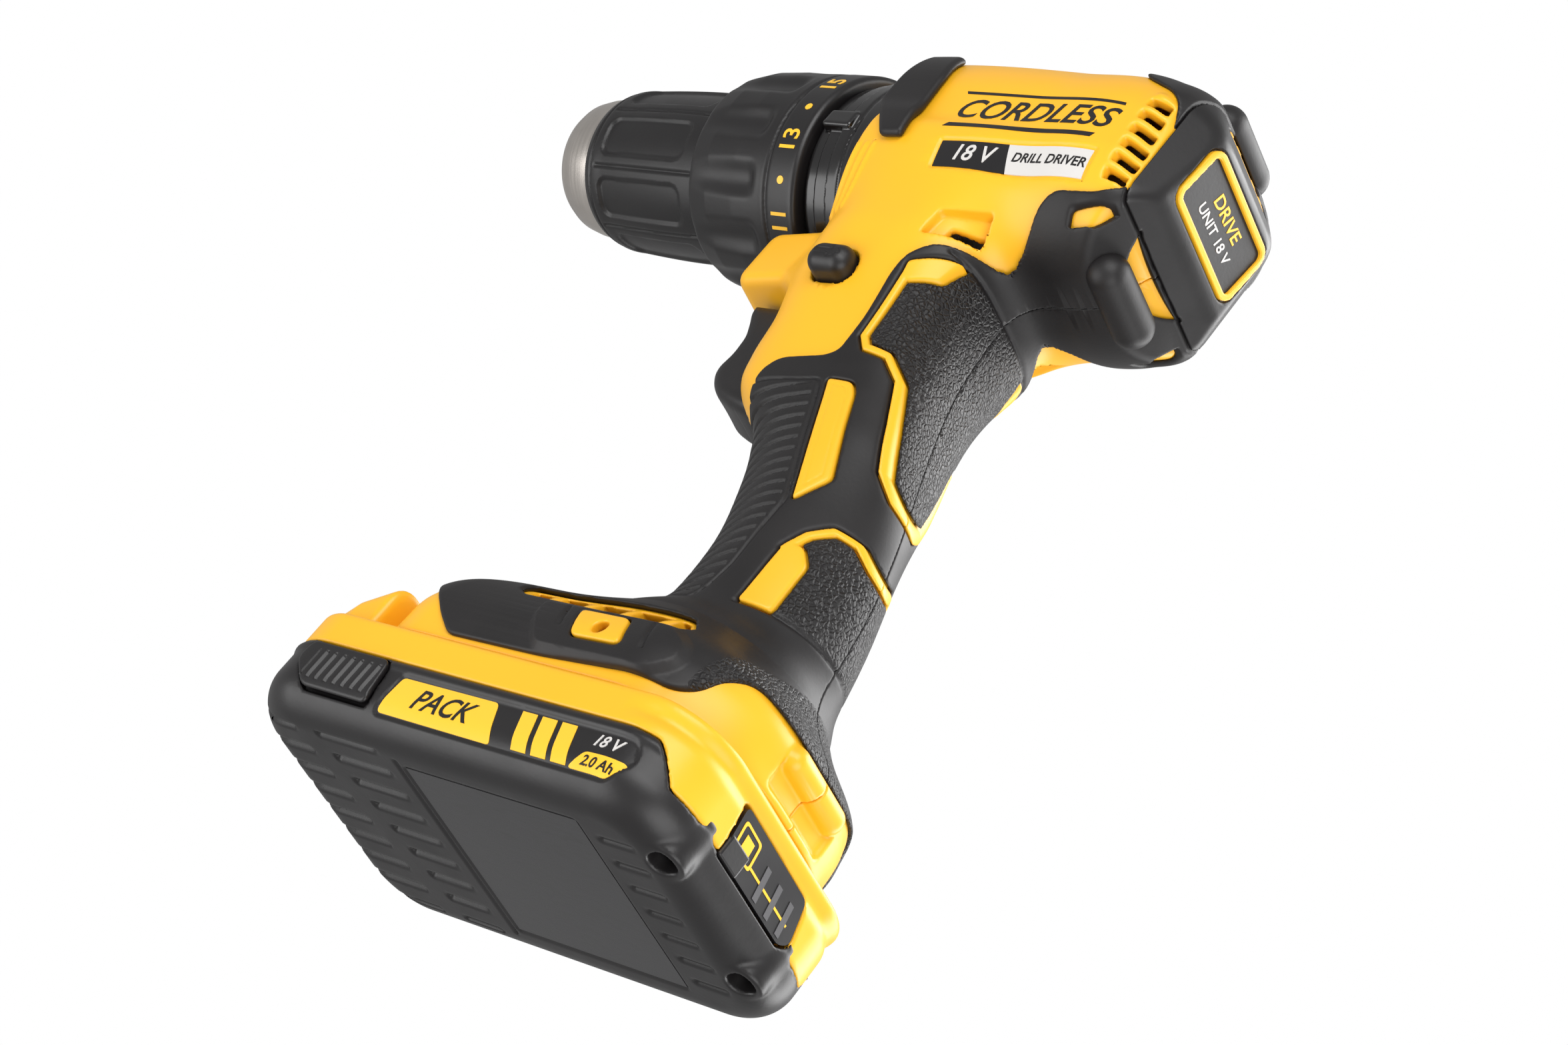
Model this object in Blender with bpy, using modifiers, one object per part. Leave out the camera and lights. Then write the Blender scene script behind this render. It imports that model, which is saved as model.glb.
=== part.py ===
"""Cordless drill driver: housing halves, motor, two planetary stages, clutch, keyless chuck and battery pack.

Frame: the origin is the middle of the battery's underside, +X runs towards the chuck, +Y is the side
with the red-hand forward button, +Z is up. Lengths are in metres; MM turns millimetres into metres.
"""

import math

import bmesh
import bpy
from mathutils import Matrix, Vector

MM = 0.001
GAP = 0.3 * MM                 # space left between pieces that touch

# Drive line, turned about X at this height
AXIS_Z = 195 * MM
HOUSING_FRONT_X = 30 * MM      # where the gear case comes out of the housing
NOSE_X = 142 * MM

CASE_RADIUS = 26 * MM
COLLAR_RADIUS = 27 * MM
SLEEVE_RADIUS = 20 * MM
NOSE_RADIUS = 17.5 * MM
BOSS_FACE_Y = 35.3 * MM        # belt hook pads on the foot

# Gears: two alike planetary stages, ring fixed, sun driving, planet carrier driven
SUN_TEETH = 12
PLANET_TEETH = 18
RING_TEETH = SUN_TEETH + 2 * PLANET_TEETH
GEAR_MODULE = 17.0 / 24 * MM
ORBIT = GEAR_MODULE * (SUN_TEETH + PLANET_TEETH) / 2
STAGE_1_X = 16.3 * MM
STAGE_2_X = 28.5 * MM
GEAR_WIDTH = 7 * MM

# Chuck jaws: three round jaws in bores that lean in towards the front
JAW_LEAN = math.radians(14)
JAW_RADIUS = 3.2 * MM
JAW_LENGTH = 22 * MM
JAW_TIP_X = 130 * MM
JAW_OPEN = 3.5 * MM            # tip edge to the drive axis at rest

# Battery pack
CELL_RADIUS = 9.1 * MM
CELL_HALF = 32.5 * MM
CELL_X = [x * MM for x in (-37.4, -18.7, 0, 18.7, 37.4)]
CELL_Z = 13.8 * MM
BUTTON_BOX = ((20 * MM, 34 * MM, 5 * MM), (45 * MM, 36.2 * MM, 15 * MM))

YELLOW = (0.95, 0.52, 0.02)
BLACK = (0.025, 0.024, 0.024)
RUBBER = (0.03, 0.028, 0.028)
STEEL = (0.55, 0.53, 0.5)
COPPER = (0.6, 0.3, 0.12)
GREEN = (0.02, 0.2, 0.08)
BLUE = (0.08, 0.25, 0.45)


# ---------------------------------------------------------------- scene helpers

def start_scene():
    for old in list(bpy.data.objects):
        bpy.data.objects.remove(old, do_unlink=True)
    parts = bpy.data.collections.new("cordless_drill")
    cutters = bpy.data.collections.new("cutters")
    bpy.context.scene.collection.children.link(parts)
    bpy.context.scene.collection.children.link(cutters)
    return parts, cutters


PARTS, CUTTERS = start_scene()


def paint(obj, colour, roughness=0.5, metallic=0.0):
    material = bpy.data.materials.new(obj.name)
    material.use_nodes = True
    shader = material.node_tree.nodes["Principled BSDF"]
    shader.inputs["Base Color"].default_value = (*colour, 1)
    shader.inputs["Roughness"].default_value = roughness
    shader.inputs["Metallic"].default_value = metallic
    obj.data.materials.clear()
    obj.data.materials.append(material)
    return obj


def mesh_object(name, bm, guide):
    mesh = bpy.data.meshes.new(name)
    bmesh.ops.recalc_face_normals(bm, faces=bm.faces)
    bm.to_mesh(mesh)
    bm.free()
    obj = bpy.data.objects.new(name, mesh)
    (CUTTERS if guide else PARTS).objects.link(obj)
    if guide:
        obj.hide_render = True
        obj.display_type = "WIRE"
    return obj


def block(name, low, high, bevel=0.0, guide=False):
    """A box from its low and high corners, with rounded edges where bevel is given."""
    bm = bmesh.new()
    size = [high[i] - low[i] for i in range(3)]
    middle = [(high[i] + low[i]) / 2 for i in range(3)]
    bmesh.ops.create_cube(bm, size=1.0)
    bmesh.ops.scale(bm, vec=size, verts=bm.verts)
    obj = mesh_object(name, bm, guide)
    obj.location = middle
    if bevel:
        rounding = obj.modifiers.new("rounding", "BEVEL")
        rounding.width = bevel
        rounding.segments = 2
        rounding.limit_method = "ANGLE"
    return obj


def rod(name, start, end, radius, sides=24, guide=False, end_radius=None):
    """A cylinder or cone between two points."""
    start = Vector(start)
    end = Vector(end)
    bm = bmesh.new()
    bmesh.ops.create_cone(
        bm, cap_ends=True, segments=sides, radius1=radius,
        radius2=radius if end_radius is None else end_radius, depth=(end - start).length,
    )
    obj = mesh_object(name, bm, guide)
    obj.location = (start + end) / 2
    obj.rotation_euler = (end - start).to_track_quat("Z", "Y").to_euler()
    return obj


def turned(name, outline, steps=36, guide=False):
    """A solid turned about the drive axis. outline: (x, r) down the outer side from the front, then back."""
    bm = bmesh.new()
    verts = [bm.verts.new((r, 0, x)) for x, r in outline]
    on_axis = outline[0][1] == 0
    count = len(verts)
    for i in range(count - 1 if on_axis else count):
        bm.edges.new((verts[i], verts[(i + 1) % count]))
    obj = mesh_object(name, bm, guide)
    obj.location = (0, 0, AXIS_Z)
    obj.rotation_euler = (0, math.radians(90), 0)
    screw = obj.modifiers.new("turn", "SCREW")
    screw.steps = steps
    screw.render_steps = steps
    screw.use_merge_vertices = True
    screw.merge_threshold = 0.00001
    screw.use_smooth_shade = False
    return obj


def prism(name, points, low, high, axis, guide=False, bevel=0.0):
    """A flat outline extruded from low to high along axis, "x" (points are y, z) or "y" (points are x, z)."""
    bm = bmesh.new()
    rings = []
    for level in (low, high):
        if axis == "x":
            rings.append([bm.verts.new((level, a, b)) for a, b in points])
        else:
            rings.append([bm.verts.new((a, level, b)) for a, b in points])
    bridge(bm, rings)
    obj = mesh_object(name, bm, guide)
    if bevel:
        rounding = obj.modifiers.new("rounding", "BEVEL")
        rounding.width = bevel
        rounding.segments = 2
        rounding.limit_method = "ANGLE"
    return obj


def bridge(bm, rings):
    for low_ring, high_ring in zip(rings, rings[1:]):
        count = len(low_ring)
        for i in range(count):
            j = (i + 1) % count
            bm.faces.new((low_ring[i], low_ring[j], high_ring[j], high_ring[i]))
    bm.faces.new(list(reversed(rings[0])))
    bm.faces.new(rings[-1])


def superellipse(half_a, half_b, power, count):
    points = []
    for i in range(count):
        angle = 2 * math.pi * (i + 0.5) / count
        cosine = math.cos(angle)
        sine = math.sin(angle)
        points.append((
            half_a * math.copysign(abs(cosine) ** (2 / power), cosine),
            half_b * math.copysign(abs(sine) ** (2 / power), sine),
        ))
    return points


def rounded_rectangle(half_a, half_b, radius, per_corner=6):
    points = []
    for quarter, (sign_a, sign_b) in enumerate(((1, 1), (-1, 1), (-1, -1), (1, -1))):
        for i in range(per_corner + 1):
            angle = math.radians(90) * (quarter + i / per_corner)
            points.append((
                sign_a * (half_a - radius) + radius * math.cos(angle),
                sign_b * (half_b - radius) + radius * math.sin(angle),
            ))
    return points


def box_loft(name, sections, guide=True):
    """A loft upwards of rounded rectangles about the Z axis. Each section is (z, half length, half width, radius)."""
    bm = bmesh.new()
    rings = []
    for z, half_length, half_width, radius in sections:
        outline = rounded_rectangle(half_length * MM, half_width * MM, radius * MM)
        rings.append([bm.verts.new((a, b, z * MM)) for a, b in outline])
    bridge(bm, rings)
    return mesh_object(name, bm, guide)


def loft_z(name, sections, count=32, grow=0.0, guide=True):
    """A loft upwards. Each section is (z, middle x, half length, half width, power)."""
    bm = bmesh.new()
    rings = []
    for z, middle, half_length, half_width, power in sections:
        outline = superellipse(half_length * MM + grow, half_width * MM + grow, power, count)
        rings.append([bm.verts.new((middle * MM + a, b, z * MM)) for a, b in outline])
    bridge(bm, rings)
    return mesh_object(name, bm, guide)


def loft_x(name, sections, count=40, grow=0.0, guide=True):
    """A loft along the barrel. Each section is (x, middle z, half height, half width, power)."""
    bm = bmesh.new()
    rings = []
    for x, middle, half_height, half_width, power in sections:
        outline = superellipse(half_width * MM + grow, half_height * MM + grow, power, count)
        rings.append([bm.verts.new((x * MM, a, middle * MM + b)) for a, b in outline])
    bridge(bm, rings)
    return mesh_object(name, bm, guide)


def boolean(obj, other, operation):
    if other.users_collection[0] is not CUTTERS:
        raise ValueError(other.name + " is not a cutter")
    step = obj.modifiers.new(other.name, "BOOLEAN")
    step.operation = operation
    step.object = other
    step.solver = "EXACT"
    return obj


def cut(obj, *others):
    for other in others:
        boolean(obj, other, "DIFFERENCE")
    return obj


def join(obj, *others):
    for other in others:
        boolean(obj, other, "UNION")
    return obj


def keep(obj, other):
    return boolean(obj, other, "INTERSECT")


def frozen(obj):
    """The object as its modifiers leave it, as a plain mesh that other pieces can be cut from."""
    graph = bpy.context.evaluated_depsgraph_get()
    mesh = bpy.data.meshes.new_from_object(obj.evaluated_get(graph))
    solid = bpy.data.objects.new(obj.name + "_solid", mesh)
    solid.matrix_world = obj.matrix_world
    CUTTERS.objects.link(solid)
    solid.hide_render = True
    solid.display_type = "WIRE"
    return solid


# ---------------------------------------------------------------- housing

# (x, middle z, half height, half width, power), rear to front
BARREL = [
    (-47.0, 194.5, 19, 19, 2.6), (-43, 195, 24.5, 25, 2.5), (-34, 195.5, 27.5, 27.5, 2.4),
    (-10, 195.5, 28.5, 28.5, 2.3), (24, 195.5, 28.5, 28.5, 2.2), (30.2, 195, 27.6, 27.6, 2.1),
]
# (z, middle x, half length, half width, power), foot to neck
CORE = [
    (58, -17.5, 17.6, 14.6, 2.0), (76, -17, 17.6, 14.6, 2.0), (95, -10, 17.6, 14.6, 2.0),
    (115.5, -4, 17.6, 14.6, 2.0), (122, -2, 18.5, 15, 2.0),
]
NECK = [
    (116.5, 0, 25, 15.5, 2.4), (126, 3, 25, 17, 2.6), (136, 5, 27, 18.5, 2.8),
    (146, 6, 31, 20, 3.0), (158, -2, 36, 23, 3.0), (180, -2, 33, 25, 3.0),
]
GRIP = [
    (58, -17.5, 20, 17, 2.0), (76, -17, 20, 17, 2.0), (95, -10, 20, 17, 2.0), (115.5, -4, 20, 17, 2.0),
]
FOOT = [
    (24.6, -9, 48.5, 34, 3.6), (34, -9, 48.2, 34, 3.6), (42, -10, 45.5, 32, 3.4), (47, -12, 40, 27.5, 3),
    (53, -15, 27, 20, 2.6), (61, -17.2, 19.5, 16.5, 2.2),
]


def housing_outside():
    shell = loft_x("barrel_outside", BARREL)
    join(shell, loft_z("neck_outside", NECK))
    join(shell, loft_z("core_outside", CORE))
    join(shell, loft_z("foot_outside", FOOT, 40))
    join(shell, block("spine", (-24 * MM, -14 * MM, 212 * MM), (24 * MM, 14 * MM, 221.8 * MM), guide=True))
    join(shell, block("spine_block", (14 * MM, -13 * MM, 208 * MM), (48 * MM, 13 * MM, 226.4 * MM), guide=True))
    join(shell, block("nose", (20 * MM, -12.5 * MM, 150.2 * MM), (51.5 * MM, 12.5 * MM, 167 * MM), guide=True))
    cut(shell, rod("case_space", (HOUSING_FRONT_X - 0.9 * MM, 0, AXIS_Z), (90 * MM, 0, AXIS_Z),
                   CASE_RADIUS + GAP, 44, guide=True))
    return frozen(shell)


def housing_inside():
    hollow = turned("motor_space", [
        (40 * MM, 0), (40 * MM, 22.8 * MM), (11 * MM, 22.8 * MM), (11 * MM, 24 * MM), (-40 * MM, 24 * MM),
        (-44.5 * MM, 20 * MM), (-52 * MM, 20 * MM), (-52 * MM, 0),
    ], guide=True)
    inner_neck = [(z, x, a - 2.4, b - 2.4, p) for z, x, a, b, p in NECK[:5]]
    inner_core = [(z, x, a - 2.4, b - 2.4, p) for z, x, a, b, p in CORE[1:]]
    inner_foot = [(z, x, a - 2.6, b - 2.6, p) for z, x, a, b, p in FOOT[1:4]]
    join(hollow, loft_z("neck_inside", [(120,) + inner_neck[0][1:]] + inner_neck[1:]))
    join(hollow, loft_z("core_inside", [(40, -17, 14.5, 12, 2.2)] + inner_core))
    join(hollow, loft_z("foot_inside", [(20, -9, 45.9, 31.4, 3.6), (38, -9.5, 44, 30.2, 3.5), (44, -11, 39, 26, 3.2)], 40))
    return frozen(hollow)


def housing_half(side, outside, inside):
    """One moulded half. side is 1 for the left half (+Y) and -1 for the right."""
    name = "housing_left" if side > 0 else "housing_right"
    low = (-52 * MM, 0.15 * MM if side > 0 else -50 * MM, 20 * MM)
    high = (60 * MM, 50 * MM if side > 0 else -0.15 * MM, 240 * MM)
    half = block(name, low, high)
    keep(half, outside)
    cut(half, inside)
    cut(half, CUTTERS.objects["rear_cut"], CUTTERS.objects["trigger_window"], CUTTERS.objects["selector_slot"])
    cut(half, CUTTERS.objects["button_hole"], CUTTERS.objects["rail_way"], CUTTERS.objects["lens_hole"])
    for i in range(4):
        z = (203.3 - 8.8 * i) * MM
        x = (-20.7 + 1.3 * i) * MM
        y = 26 * MM * side
        cut(half, block(f"{name}_vent_{i}", (x - 5 * MM, min(y, y + 8 * MM * side) - 5 * MM, z),
                        (x + 5 * MM, max(y, y + 8 * MM * side) + 5 * MM, z + 3.4 * MM), guide=True))
    belt_hook_boss(half, side)
    return paint(half, YELLOW, 0.42)


def belt_hook_boss(half, side):
    """A flat pad with a blind screw hole on the side of the foot, where a belt hook is fixed."""
    inner_y, outer_y = sorted((32.5 * MM * side, BOSS_FACE_Y * side))
    join(half, block(f"{half.name}_boss", (-27 * MM, inner_y, 29.5 * MM), (-13 * MM, outer_y, 39.5 * MM), guide=True))
    middle = Vector((-20 * MM, 0, 34.5 * MM))
    outward = Vector((0, side, 0))
    cut(half, rod(f"{half.name}_boss_hole", middle + outward * 34 * MM, middle + outward * 40 * MM, 1.7 * MM, 16, guide=True))


def housing():
    block("rear_cut", (-60 * MM, -60 * MM, 160 * MM), (-43.3 * MM, 60 * MM, 240 * MM), guide=True)
    block("trigger_window", (9 * MM, -8.4 * MM, 114.5 * MM), (60 * MM, 8.4 * MM, 149.6 * MM), guide=True)
    block("selector_slot", (26 * MM, -7.4 * MM, 222.6 * MM), (70 * MM, 7.4 * MM, 240 * MM), guide=True)
    block("button_hole", (5.6 * MM, -60 * MM, 140.6 * MM), (22.4 * MM, 60 * MM, 153.4 * MM), guide=True)
    block("rail_way", (-47 * MM, -20.8 * MM, 20 * MM), (60 * MM, 20.8 * MM, 38.6 * MM), guide=True)
    rod("lens_hole", (28 * MM, 0, 160.4 * MM), (60 * MM, 0, 152 * MM), 3.0 * MM, 16, guide=True)
    outside = housing_outside()
    inside = housing_inside()
    for side in (1, -1):
        housing_half(side, outside, inside)


def rear_cap():
    cap = [(x, z, a, b, p) for x, z, a, b, p in BARREL[:3]]
    cap[-1] = (-43.6, 195, 24, 24.5, 2.5)
    cap[1] = (-45.8, 194.8, 22, 22.5, 2.5)
    body = loft_x("rear_cap", [(-50, 194, 15, 15, 2.8), (-48, 194.2, 18.6, 18.6, 2.7), cap[1], cap[2]], guide=False)
    cut(body, rod("cap_hollow", (-47 * MM, 0, AXIS_Z), (-40 * MM, 0, AXIS_Z), 18 * MM, 32, guide=True))
    return paint(body, BLACK, 0.6)


def grips():
    outside = loft_z("grip_outside", GRIP)
    inside = loft_z("grip_inside", [(z, x, 17.9, 14.9, 2.0) for z, x, _, _, _ in GRIP])
    for side, name in ((1, "grip_left"), (-1, "grip_right")):
        low = (-60 * MM, 0.15 * MM if side > 0 else -40 * MM, 66.5 * MM)
        high = (40 * MM, 40 * MM if side > 0 else -0.15 * MM, 114 * MM)
        grip = block(name, low, high)
        keep(grip, outside)
        cut(grip, inside)
        paint(grip, RUBBER, 0.75)


def front_pads():
    """Rubber pads on the upper front corners of the barrel."""
    ring = turned("pad_ring", [
        (36 * MM, 27 * MM), (36 * MM, 31 * MM), (20 * MM, 31 * MM), (20 * MM, 27 * MM),
    ], guide=True)
    seat = loft_x("pad_seat", BARREL[3:], grow=0.35 * MM)
    for side, name in ((1, "front_pad_left"), (-1, "front_pad_right")):
        inner_y, outer_y = sorted((14.5 * MM * side, 32 * MM * side))
        pad = block(name, (23.5 * MM, inner_y, 200 * MM), (29.8 * MM, outer_y, 219 * MM))
        keep(pad, ring)
        cut(pad, seat)
        paint(pad, RUBBER, 0.7)


def housing_screws():
    """Screws put in from the right side, which hold the halves together."""
    places = [(-30, 214), (18, 172), (-10, 104), (-18, 70)]
    for number, (x, z) in enumerate(places, 1):
        name = f"housing_screw_{number}"
        x = x * MM
        z = z * MM
        hole = rod(name + "_hole", (x, -45 * MM, z), (x, -8 * MM, z), 2.9 * MM, 16, guide=True)
        cut(PARTS.objects["housing_right"], hole)
        if z < 120 * MM:
            cut(PARTS.objects["grip_right"], hole)
        top = -22 * MM if z > 120 * MM else -15.6 * MM
        screw = rod(name, (x, top, z), (x, top + 2.2 * MM, z), 2.5 * MM, 16)
        join(screw, rod(name + "_shank", (x, top + 1 * MM, z), (x, top + 9 * MM, z), 1.4 * MM, 12, guide=True))
        paint(screw, STEEL, 0.35, 1.0)


def led_lens():
    lens = rod("led_lens", (36 * MM, 0, 158.3 * MM), (51.3 * MM, 0, 154.3 * MM), 2.6 * MM, 16)
    paint(lens, (0.8, 0.8, 0.75), 0.15)


# ---------------------------------------------------------------- switch and controls

def trigger():
    outline = [
        (18, 120), (19, 138), (29.5, 139), (31.5, 149), (46.5, 149), (47, 147), (44.5, 143), (42.2, 138.5), (41.8, 133),
        (42.6, 128.5), (41.6, 124), (38, 119.8), (33, 116.8), (27, 115.4), (21, 116),
    ]
    lever = prism("trigger", [(x * MM, z * MM) for x, z in outline], -7.9 * MM, 7.9 * MM, "y", bevel=1.2 * MM)
    paint(lever, BLACK, 0.5)
    spring = coil("trigger_spring", 6.3 * MM, 17.6 * MM, (0, 133 * MM), 3.2 * MM, 0.45 * MM, 5)
    paint(spring, STEEL, 0.3, 1.0)


def coil(name, low_x, high_x, centre, radius, wire, turns):
    """A wire coil about an axis along X through centre (y, z)."""
    per_turn = 8
    count = turns * per_turn + 1
    curve = bpy.data.curves.new(name, "CURVE")
    curve.dimensions = "3D"
    spline = curve.splines.new("POLY")
    spline.points.add(count - 1)
    for i in range(count):
        angle = 2 * math.pi * i / per_turn
        x = low_x + wire + (high_x - low_x - 2 * wire) * i / (count - 1)
        y = centre[0] + radius * math.cos(angle)
        z = centre[1] + radius * math.sin(angle)
        spline.points[i].co = (x, y, z, 1)
    curve.bevel_depth = wire
    curve.bevel_resolution = 1
    curve.use_fill_caps = True
    wire_curve = bpy.data.objects.new(name + "_curve", curve)
    CUTTERS.objects.link(wire_curve)
    graph = bpy.context.evaluated_depsgraph_get()
    mesh = bpy.data.meshes.new_from_object(wire_curve.evaluated_get(graph))
    bm = bmesh.new()
    bm.from_mesh(mesh)
    bmesh.ops.remove_doubles(bm, verts=bm.verts, dist=0.00001)
    bpy.data.objects.remove(wire_curve, do_unlink=True)
    return mesh_object(name, bm, guide=False)


def electrics():
    module = block("switch_module", (-14 * MM, -10 * MM, 121 * MM), (6 * MM, 10 * MM, 135.5 * MM), 0.6 * MM)
    paint(module, BLACK, 0.5)
    board = block("control_board", (-33 * MM, -13 * MM, 46.9 * MM), (2 * MM, 13 * MM, 48.5 * MM))
    cut(PARTS.objects["housing_left"], CUTTERS.objects["board_space"])
    cut(PARTS.objects["housing_right"], CUTTERS.objects["board_space"])
    paint(board, GREEN, 0.4)
    terminals = block("terminal_block", (-36 * MM, -14 * MM, 33.6 * MM), (-13 * MM, 14 * MM, 43.5 * MM), 0.5 * MM)
    blades = [
        block(f"terminal_blade_{i}", (-14 * MM, (y - 0.5) * MM, 35 * MM), (-3 * MM, (y + 0.5) * MM, 38 * MM), guide=True)
        for i, y in enumerate((-9, -3, 3, 9))
    ]
    join(terminals, *blades)
    paint(terminals, BLACK, 0.5)


def direction_selector():
    """Cross bar through the neck: pushed from the left for reverse, from the right for forward."""
    bar = block("direction_selector", (6 * MM, -26.5 * MM, 141 * MM), (22 * MM, 26.5 * MM, 153 * MM), 1.5 * MM)
    waist = block("selector_waist", (3 * MM, -12 * MM, 130 * MM), (13 * MM, 12 * MM, 160 * MM), guide=True)
    cut(bar, waist)
    paint(bar, BLACK, 0.5)


def speed_selector():
    slider = block("speed_selector", (35 * MM, -7 * MM, 222.9 * MM), (53 * MM, 7 * MM, 226.9 * MM), 0.8 * MM)
    paint(slider, BLACK, 0.55)


# ---------------------------------------------------------------- motor and gears

def motor():
    can = turned("motor_can", [
        (10.5 * MM, 6 * MM), (10.5 * MM, 18.3 * MM), (-36 * MM, 18.3 * MM), (-36 * MM, 4 * MM), (-35 * MM, 4 * MM),
        (-35 * MM, 15.6 * MM), (9 * MM, 15.6 * MM), (9 * MM, 6 * MM),
    ], 40)
    paint(can, STEEL, 0.35, 1.0)
    core = turned("rotor_core", [
        (6 * MM, 2.8 * MM), (6 * MM, 9 * MM), (2 * MM, 14.6 * MM), (-22 * MM, 14.6 * MM), (-26 * MM, 8 * MM),
        (-32 * MM, 8 * MM), (-32 * MM, 2.8 * MM),
    ], 32)
    paint(core, COPPER, 0.4, 0.8)
    shaft = rod("rotor_shaft", (-44 * MM, 0, AXIS_Z), (15 * MM, 0, AXIS_Z), 2.5 * MM, 20)
    paint(shaft, STEEL, 0.25, 1.0)
    fan()


def fan():
    points = []
    blades = 11
    for i in range(blades):
        for offset, radius in ((0.0, 8.5), (0.12, 17), (0.34, 17), (0.42, 8.5)):
            angle = 2 * math.pi * (i + offset) / blades
            points.append((radius * MM * math.cos(angle), AXIS_Z + radius * MM * math.sin(angle)))
    wheel = prism("motor_fan", points, -42.5 * MM, -37.5 * MM, "x")
    cut(wheel, rod("fan_bore", (-50 * MM, 0, AXIS_Z), (-30 * MM, 0, AXIS_Z), 2.8 * MM, 20, guide=True))
    paint(wheel, BLACK, 0.5)


def gear_outline(teeth, phase, inner=False, centre=(0.0, 0.0)):
    """Tooth outline about centre in (y, z). phase is the angle of a tooth's middle; inner is a ring's inside."""
    pitch = GEAR_MODULE * teeth / 2
    add = 0.8 * GEAR_MODULE
    tip = pitch - add if inner else pitch + add
    root = pitch + 1.05 * GEAR_MODULE if inner else pitch - 1.05 * GEAR_MODULE
    step = 2 * math.pi / teeth
    points = []
    for i in range(teeth):
        middle = phase + i * step
        for offset, radius in ((-0.30, root), (-0.13, tip), (0.13, tip), (0.30, root)):
            angle = middle + offset * step
            points.append((centre[0] + radius * math.cos(angle), centre[1] + radius * math.sin(angle)))
    return points


def ring_gear(name, low_x, high_x):
    ring = turned(name, [
        (high_x, 10 * MM), (high_x, 20.5 * MM), (low_x, 20.5 * MM), (low_x, 10 * MM),
    ])
    teeth = gear_outline(RING_TEETH, 0.0, inner=True, centre=(0, AXIS_Z))
    cut(ring, prism(name + "_teeth", teeth, low_x - 5 * MM, high_x + 5 * MM, "x", guide=True))
    return paint(ring, STEEL, 0.4, 1.0)


def planets(letters, low_x):
    """Three planets at 90, 210 and 330 degrees, turned so that they mesh with sun and ring."""
    for number, letter in enumerate(letters):
        place = math.radians(90 + 120 * number)
        centre = (ORBIT * math.cos(place), AXIS_Z + ORBIT * math.sin(place))
        # sun and ring both have a tooth at each planet's place, so the planet has a gap there
        outline = gear_outline(PLANET_TEETH, place + math.pi / PLANET_TEETH, centre=centre)
        planet = prism(letter, outline, low_x, low_x + GEAR_WIDTH, "x")
        bore = rod(letter + "_bore", (low_x - 5 * MM, *centre), (low_x + 15 * MM, *centre), 2.35 * MM, 16, guide=True)
        cut(planet, bore)
        paint(planet, STEEL, 0.4, 1.0)


def carrier(name, plate_x, plate_end, radius, low_x):
    plate = rod(name, (plate_x, 0, AXIS_Z), (plate_end, 0, AXIS_Z), radius, 40)
    for number in range(3):
        place = math.radians(90 + 120 * number)
        centre = (ORBIT * math.cos(place), AXIS_Z + ORBIT * math.sin(place))
        pin = rod(f"{name}_pin_{number}", (low_x, *centre), (plate_end - 0.5 * MM, *centre), 2.0 * MM, 16, guide=True)
        join(plate, pin)
    return paint(plate, STEEL, 0.35, 1.0)


def sun(name, low_x, high_x, guide):
    outline = gear_outline(SUN_TEETH, 0.0, centre=(0, AXIS_Z))
    return prism(name, outline, low_x, high_x, "x", guide=guide)


def gearbox():
    pinion = sun("motor_pinion", 15.3 * MM, 23.6 * MM, guide=False)
    paint(pinion, STEEL, 0.35, 1.0)
    ring_gear("ring_gear_1", 15.9 * MM, 23.9 * MM)
    ring_gear("ring_gear_2", STAGE_2_X, STAGE_2_X + GEAR_WIDTH)
    planets(("planet_1a", "planet_1b", "planet_1c"), STAGE_1_X)
    planets(("planet_2a", "planet_2b", "planet_2c"), STAGE_2_X)
    first = carrier("carrier_1", 23.9 * MM, 26.4 * MM, 14 * MM, STAGE_1_X)
    join(first, sun("second_sun", 26 * MM, 35.4 * MM, guide=True))
    output = carrier("output_spindle", 35.9 * MM, 40 * MM, 15 * MM, STAGE_2_X)
    join(output, rod("spindle_rod", (39 * MM, 0, AXIS_Z), (92 * MM, 0, AXIS_Z), 6 * MM, 32, guide=True))
    case = turned("gear_case", [
        (80 * MM, 12.9 * MM), (80 * MM, 15 * MM), (50 * MM, 15 * MM), (50 * MM, 21.5 * MM), (48.1 * MM, 21.5 * MM),
        (48.1 * MM, 24.6 * MM), (40 * MM, 24.6 * MM), (40 * MM, 26 * MM), (30.1 * MM, 26 * MM), (30.1 * MM, 22.4 * MM),
        (12 * MM, 22.4 * MM), (12 * MM, 12 * MM), (14 * MM, 12 * MM), (14 * MM, 20.8 * MM), (44 * MM, 20.8 * MM),
        (44 * MM, 12.9 * MM),
    ])
    paint(case, BLACK, 0.25)
    bearing = turned("spindle_bearing", [
        (79 * MM, 6.3 * MM), (79 * MM, 12.6 * MM), (71 * MM, 12.6 * MM), (71 * MM, 6.3 * MM),
    ], 40)
    paint(bearing, STEEL, 0.25, 1.0)


# ---------------------------------------------------------------- clutch and chuck

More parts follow.
